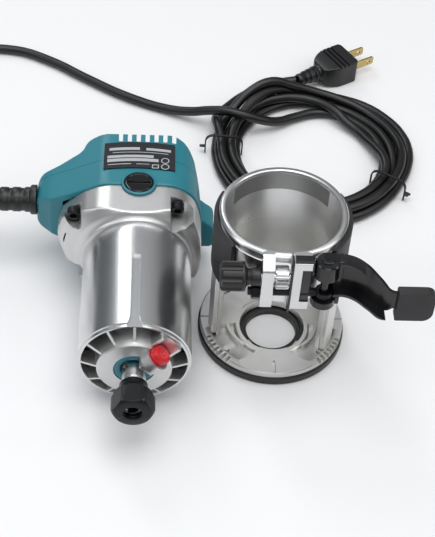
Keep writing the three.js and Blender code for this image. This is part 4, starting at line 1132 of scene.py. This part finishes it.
def makeKnob():
    grip = lathe([
        (2.7, -36.4), (6.6, -36.4), (7.6, -35.9), (8.4, -34.9), (8.4, -23.4), (7.8, -22.6), (6.4, -22.2),
        (5.0, -21.4), (4.5, -19.6), (5.2, -18.2), (5.2, -14.4), (4.8, -14), (2.7, -14),
    ], "x", 96)
    flutes = []
    for i in range(8):
        groove = shifted(disc(1.9, -38, -24.4, "x", 24), 0, 8.9, 0)
        flutes.append(turned(groove, i * 45 + 12, "x"))
    knob = shifted(cut(grip, *flutes), 0, -38.5, 87)
    finishPiece(
        knob, "knob_fluted", "depth_adjuster", "blackMoulding", baseFrame, edge=0.35,
        replaced=("depth_knob",),
    )
    blank = lathe([(0, -6), (6.2, -6), (6.8, -5.4), (6.8, 0.8), (6.2, 1.4), (0, 1.4)], "x", 72)
    gaps = []
    for i in range(12):
        gap = prism([(4.9, -0.65, 0.5), (4.9, 0.65, 0.5), (8, 1.5), (8, -1.5)], "x", -8, 3)
        gaps.append(turned(gap, i * 30 + 15, "x"))
    stem = disc(2.5, -32, 8, "x", 40)
    finishPiece(
        shifted(join(cut(blank, *gaps), stem), 0, -38.5, 87), "pinion_cut", "depth_adjuster",
        "brightSteel", baseFrame, edge=0.12, replaced=("pinion_shaft",),
    )


leverFacts = {
    "path": [(4, 3.4), (12, 3.6), (20, 0), (28, -8), (34.5, -14.8), (40.5, -15.6), (46, -15.6)],
    "web": 2.0, "middle": 88.5, "flange": 6.2, "pin": (21.8, -39.4),
}


def smoothPath(knots, count):
    # samples of a smooth curve through the knots
    data = bpy.data.curves.new("path", "CURVE")
    data.dimensions = "3D"
    spline = data.splines.new("BEZIER")
    spline.bezier_points.add(len(knots) - 1)
    for point, (x, y) in zip(spline.bezier_points, knots):
        point.co = (x, y, 0)
        point.handle_left_type = point.handle_right_type = "AUTO"
    spline.resolution_u = count
    holder = bpy.data.objects.new("path", data)
    mesh = holder.to_mesh()
    places = [v.co.xy.copy() for v in mesh.vertices]
    holder.to_mesh_clear()
    bpy.data.objects.remove(holder)
    return places


def leverStrip(start, end, low, high, knots):
    # a strip standing on the path, between two offsets from it
    places = smoothPath(knots, 8)
    edges = [[], []]
    for i, place in enumerate(places):
        along = (places[min(i + 1, len(places) - 1)] - places[max(i - 1, 0)]).normalized()
        across = Vector((-along.y, along.x))
        edges[0].append(place + across * start)
        edges[1].append(place + across * end)
    return prism([tuple(p) for p in edges[0] + edges[1][::-1]], "z", low, high)


def makeLever():
    f = leverFacts
    middle, web = f["middle"], f["web"]
    px, py = f["pin"]
    back = leverStrip(0, web, middle - 13, middle + 13, f["path"])
    top = leverStrip(-f["flange"], 0.4, middle + 11, middle + 13, f["path"][:6])
    bottom = leverStrip(-f["flange"], 0.4, middle - 13, middle - 11, f["path"][:6])
    side = prism([
        (-4, middle + 13), (13, middle + 13, 8), (28, middle + 9, 8), (34, middle + 5, 3), (60, middle + 5),
        (60, middle - 7), (36, middle - 7, 3), (32, middle - 12.5, 4), (13, middle - 13, 8), (-4, middle - 13),
    ], "y", -40, 40)
    arm = common(join(back, top, bottom), side)
    knuckles = [
        lathe([(0, 68.5), (6.2, 68.5), (7, 69.3), (7, 74), (0, 74)], "z", 64),
        lathe([(0, 91), (7, 91), (7, 101.2), (6.2, 102), (0, 102)], "z", 64),
    ]
    cheek = cut(block((0, -1.5, 68.5), (9, 6, 102), 0.6), block((-1, -8, 74), (10, 2.6, 91)))
    lever = join(arm, *knuckles, cheek)
    lever = cut(lever, disc(5.7, 74, 91, "z", 48), disc(2.75, 60, 110, "z", 40))
    finishPiece(
        shifted(lever, px, py, 0), "lever_channel", "clamp_lever", "leverEnamel", baseFrame, edge=0.45,
        replaced=("lever",), angle=34, steps=3,
    )
    paddle = prism([(37.5, 96.4, 0.8), (58.5, 96.4, 5), (58.5, 75.5, 5), (37.5, 75.5, 0.8)], "y", -19.0, -12.8)
    crown = prism([
        (35, -18.4), (39, -19.2, 2), (55.5, -18.9, 3), (59.5, -17.6, 2), (59.5, -13.4, 2), (55.5, -12.7, 3),
        (35, -12.7),
    ], "z", 70, 106)
    socket = leverStrip(-0.3, web + 0.3, middle - 7.4, middle + 5.4, f["path"])
    finishPiece(
        shifted(cut(common(paddle, crown), socket), px, py, 0), "lever_paddle", "clamp_lever",
        "gripMoulding", baseFrame, edge=0.7, replaced=("lever_tip",), steps=3,
    )
    pin = lathe([(0, 68.9), (2.5, 68.9), (2.5, 101.0), (3.6, 101.9), (3.6, 102.4), (3.0, 102.9), (0, 103.0)], "z", 48)
    finishPiece(
        shifted(cut(pin, disc(1.1, 102.2, 104, "z", 24)), px, py, 0), "lever_rivet", "trim_base",
        "leverEnamel", baseFrame, edge=0.1, replaced=("lever_pin",),
    )
    eye = lathe([(2.8, 74.5), (4.6, 74.5), (5, 74.9), (5, 78.3), (4.6, 78.7), (2.8, 78.7)], "z", 48)
    shank = shifted(disc(2.5, -20.5 - px, -3.6, "x", 32), 0, 0, 76.6)
    finishPiece(
        shifted(join(eye, shank), px, py, 0), "clamp_stud", "trim_base", "blackOxide", baseFrame,
        edge=0.12, replaced=("clamp_bolt",),
    )
    nut = common(
        lathe([(2.75, -18.6), (4.2, -18.6), (4.9, -18.1), (4.9, -14.4), (4.3, -13.9), (2.75, -13.9)], "x", 64),
        disc(4.9, -20, -10, "x", 6),
    )
    finishPiece(
        shifted(nut, 0, -39.4, 76.6), "clamp_hexnut", "trim_base", "blackOxide", baseFrame, edge=0.12,
        replaced=("clamp_nut",),
    )


def makeGrips():
    px, py = leverFacts["pin"]
    knobRoom = shifted(disc(9.3, -60, -6, "x", 48), 0, -38.5, 87)
    leverRoom = shifted(disc(13.5, 60, 110, "z", 64), px, py, 0)
    for side, low, start, end, room in (("left", 59, 150, 221, knobRoom), ("right", 64.5, -60, 30, leverRoom)):
        finishPiece(
            cut(ringSector(36.65, 39.4, low, 97, start, end), room), f"grip_pad_{side}", "trim_base",
            "gripMoulding", baseFrame, edge=0.7, replaced=(f"grip_{side}",), steps=3, angle=40,
        )
    cap = join(
        block((3.9, -42.1, 101.8), (14.5, -36.8, 103.0), 0.3), block((13.7, -42.1, 92), (14.5, -37.4, 103.0), 0.3),
        block((2.15, -43.0, 62.9), (3.3, -37.0, 103.0), 0.3), block((8.5, -41.6, 72.0), (13.2, -38.8, 96.2), 0.3),
    )
    finishPiece(
        cap, "lug_shield", "trim_base", "leverEnamel", baseFrame, edge=0.2, replaced=("lug_cover",),
    )


plugFacts = {"at": (85.8, 234.6, 9.1), "turn": 31, "bladeOffset": 6.35}


def placePlug(work):
    turned(work, plugFacts["turn"], "z")
    return shifted(work, *plugFacts["at"])


def makePlug():
    relief = lathe([
        (0, 0), (3.7, 0), (4.3, 0.8), (4.3, 3.4), (3.9, 3.9), (3.9, 4.8), (4.9, 5.4), (4.9, 7.4), (4.3, 7.9),
        (4.3, 8.8),
        (5.4, 9.5), (5.4, 11.7), (4.8, 12.2), (4.8, 13.2), (6.0, 14), (6.0, 16.4), (5.6, 17), (6.6, 19.6), (0, 19.6),
    ], "x", 56)
    body = common(
        prism([(18, -7, 3), (26, -12.5, 6), (46, -12.5, 3), (46, 12.5, 3), (26, 12.5, 6), (18, 7, 3)], "z", -9, 9),
        prism([(17, -6, 3), (26, -9, 6), (47, -9, 2.5), (47, 9, 2.5), (26, 9, 6), (17, 6, 3)], "y", -14, 14),
    )
    softened(body, 0.45, 5)
    grooves = [block((x, -20, 7.6), (x + 1.2, 20, 12)) for x in (29, 32.5, 36)]
    offset = plugFacts["bladeOffset"]
    slots = [block((45.0, s * offset - 1.0, -3.5), (50, s * offset + 1.0, 3.5)) for s in (1, -1)]
    moulded = finishPiece(
        placePlug(cut(join(relief, body), *grooves, *slots)), "plug_moulded", "motor", "plugMoulding",
        tableFrame, edge=0.15, replaced=("plug_body",), angle=40,
    )
    blades = []
    for i, side in enumerate((-1, 1)):
        blade = prism([(45.2, -3.2), (64, -3.2, 1.6), (64, 3.2, 1.6), (45.2, 3.2)], "y", -0.75, 0.75)
        blade = cut(blade, shifted(disc(1.4, -3, 3, "y", 32), 59.5, 0, 0))
        shifted(blade, 0, side * offset, 0)
        blades.append(finishPiece(
            placePlug(blade), f"plug_pin_{i + 1}", "motor", "brass", tableFrame, edge=0.2,
            replaced=(f"plug_blade_{i + 1}",),
        ))
    return moulded, blades


def makeTies():
    ties = []
    half, top, thick = 13.2, 16.3, 0.9
    for i, degrees in enumerate((-32, 176)):
        outer = prism([(-half, 0.15), (-half, top, 6), (half, top, 6), (half, 0.15)], "y", -0.8, 0.8)
        inner = prism([
            (thick - half, -3), (thick - half, top - thick, 5.4), (half - thick, top - thick, 5.4),
            (half - thick, -3),
        ], "y", -3, 3)
        # the two twisted ends
        first = shifted(lathe([(0, 12.6), (1.0, 12.8), (1.0, 16.2), (0.6, 16.8), (0, 16.8)], "x", 20), 0, 0.8, 6.4)
        second = lathe([(0, 12.6), (0.9, 12.8), (0.9, 15.2), (0.5, 15.8), (0, 15.8)], "x", 20)
        shifted(turned(second, 7, "z", (13, 0, 0)), 0, -0.6, 5.6)
        tie = shifted(join(cut(outer, inner), first, second), 60, 0, 0)
        turned(tie, degrees, "z")
        shifted(tie, *coilFacts["middle"], 0)
        ties.append(finishPiece(
            tie, f"wire_tie_{i + 1}", "motor", "blackMoulding", tableFrame, edge=0.15,
            replaced=(f"cord_tie_{i + 1}",), angle=40,
        ))
    return ties


makeBarrel()
makeHub()
print("barrel made")
makeBell()
makeHousingScrews()
print("bell made")
makeShell()
print("teal shells made")
makeLabel()
makeBrushCap()
makeGuard()
makeSpindle()
makeNut()
makeLockButton()
print("motor details made")
makeSleeve()
makeFoot()
print("base casting made")
makeKnob()
makeLever()
makeGrips()
print("base fittings made")
plug, plugPins = makePlug()
cordTies = makeTies()
print("plug and ties made")
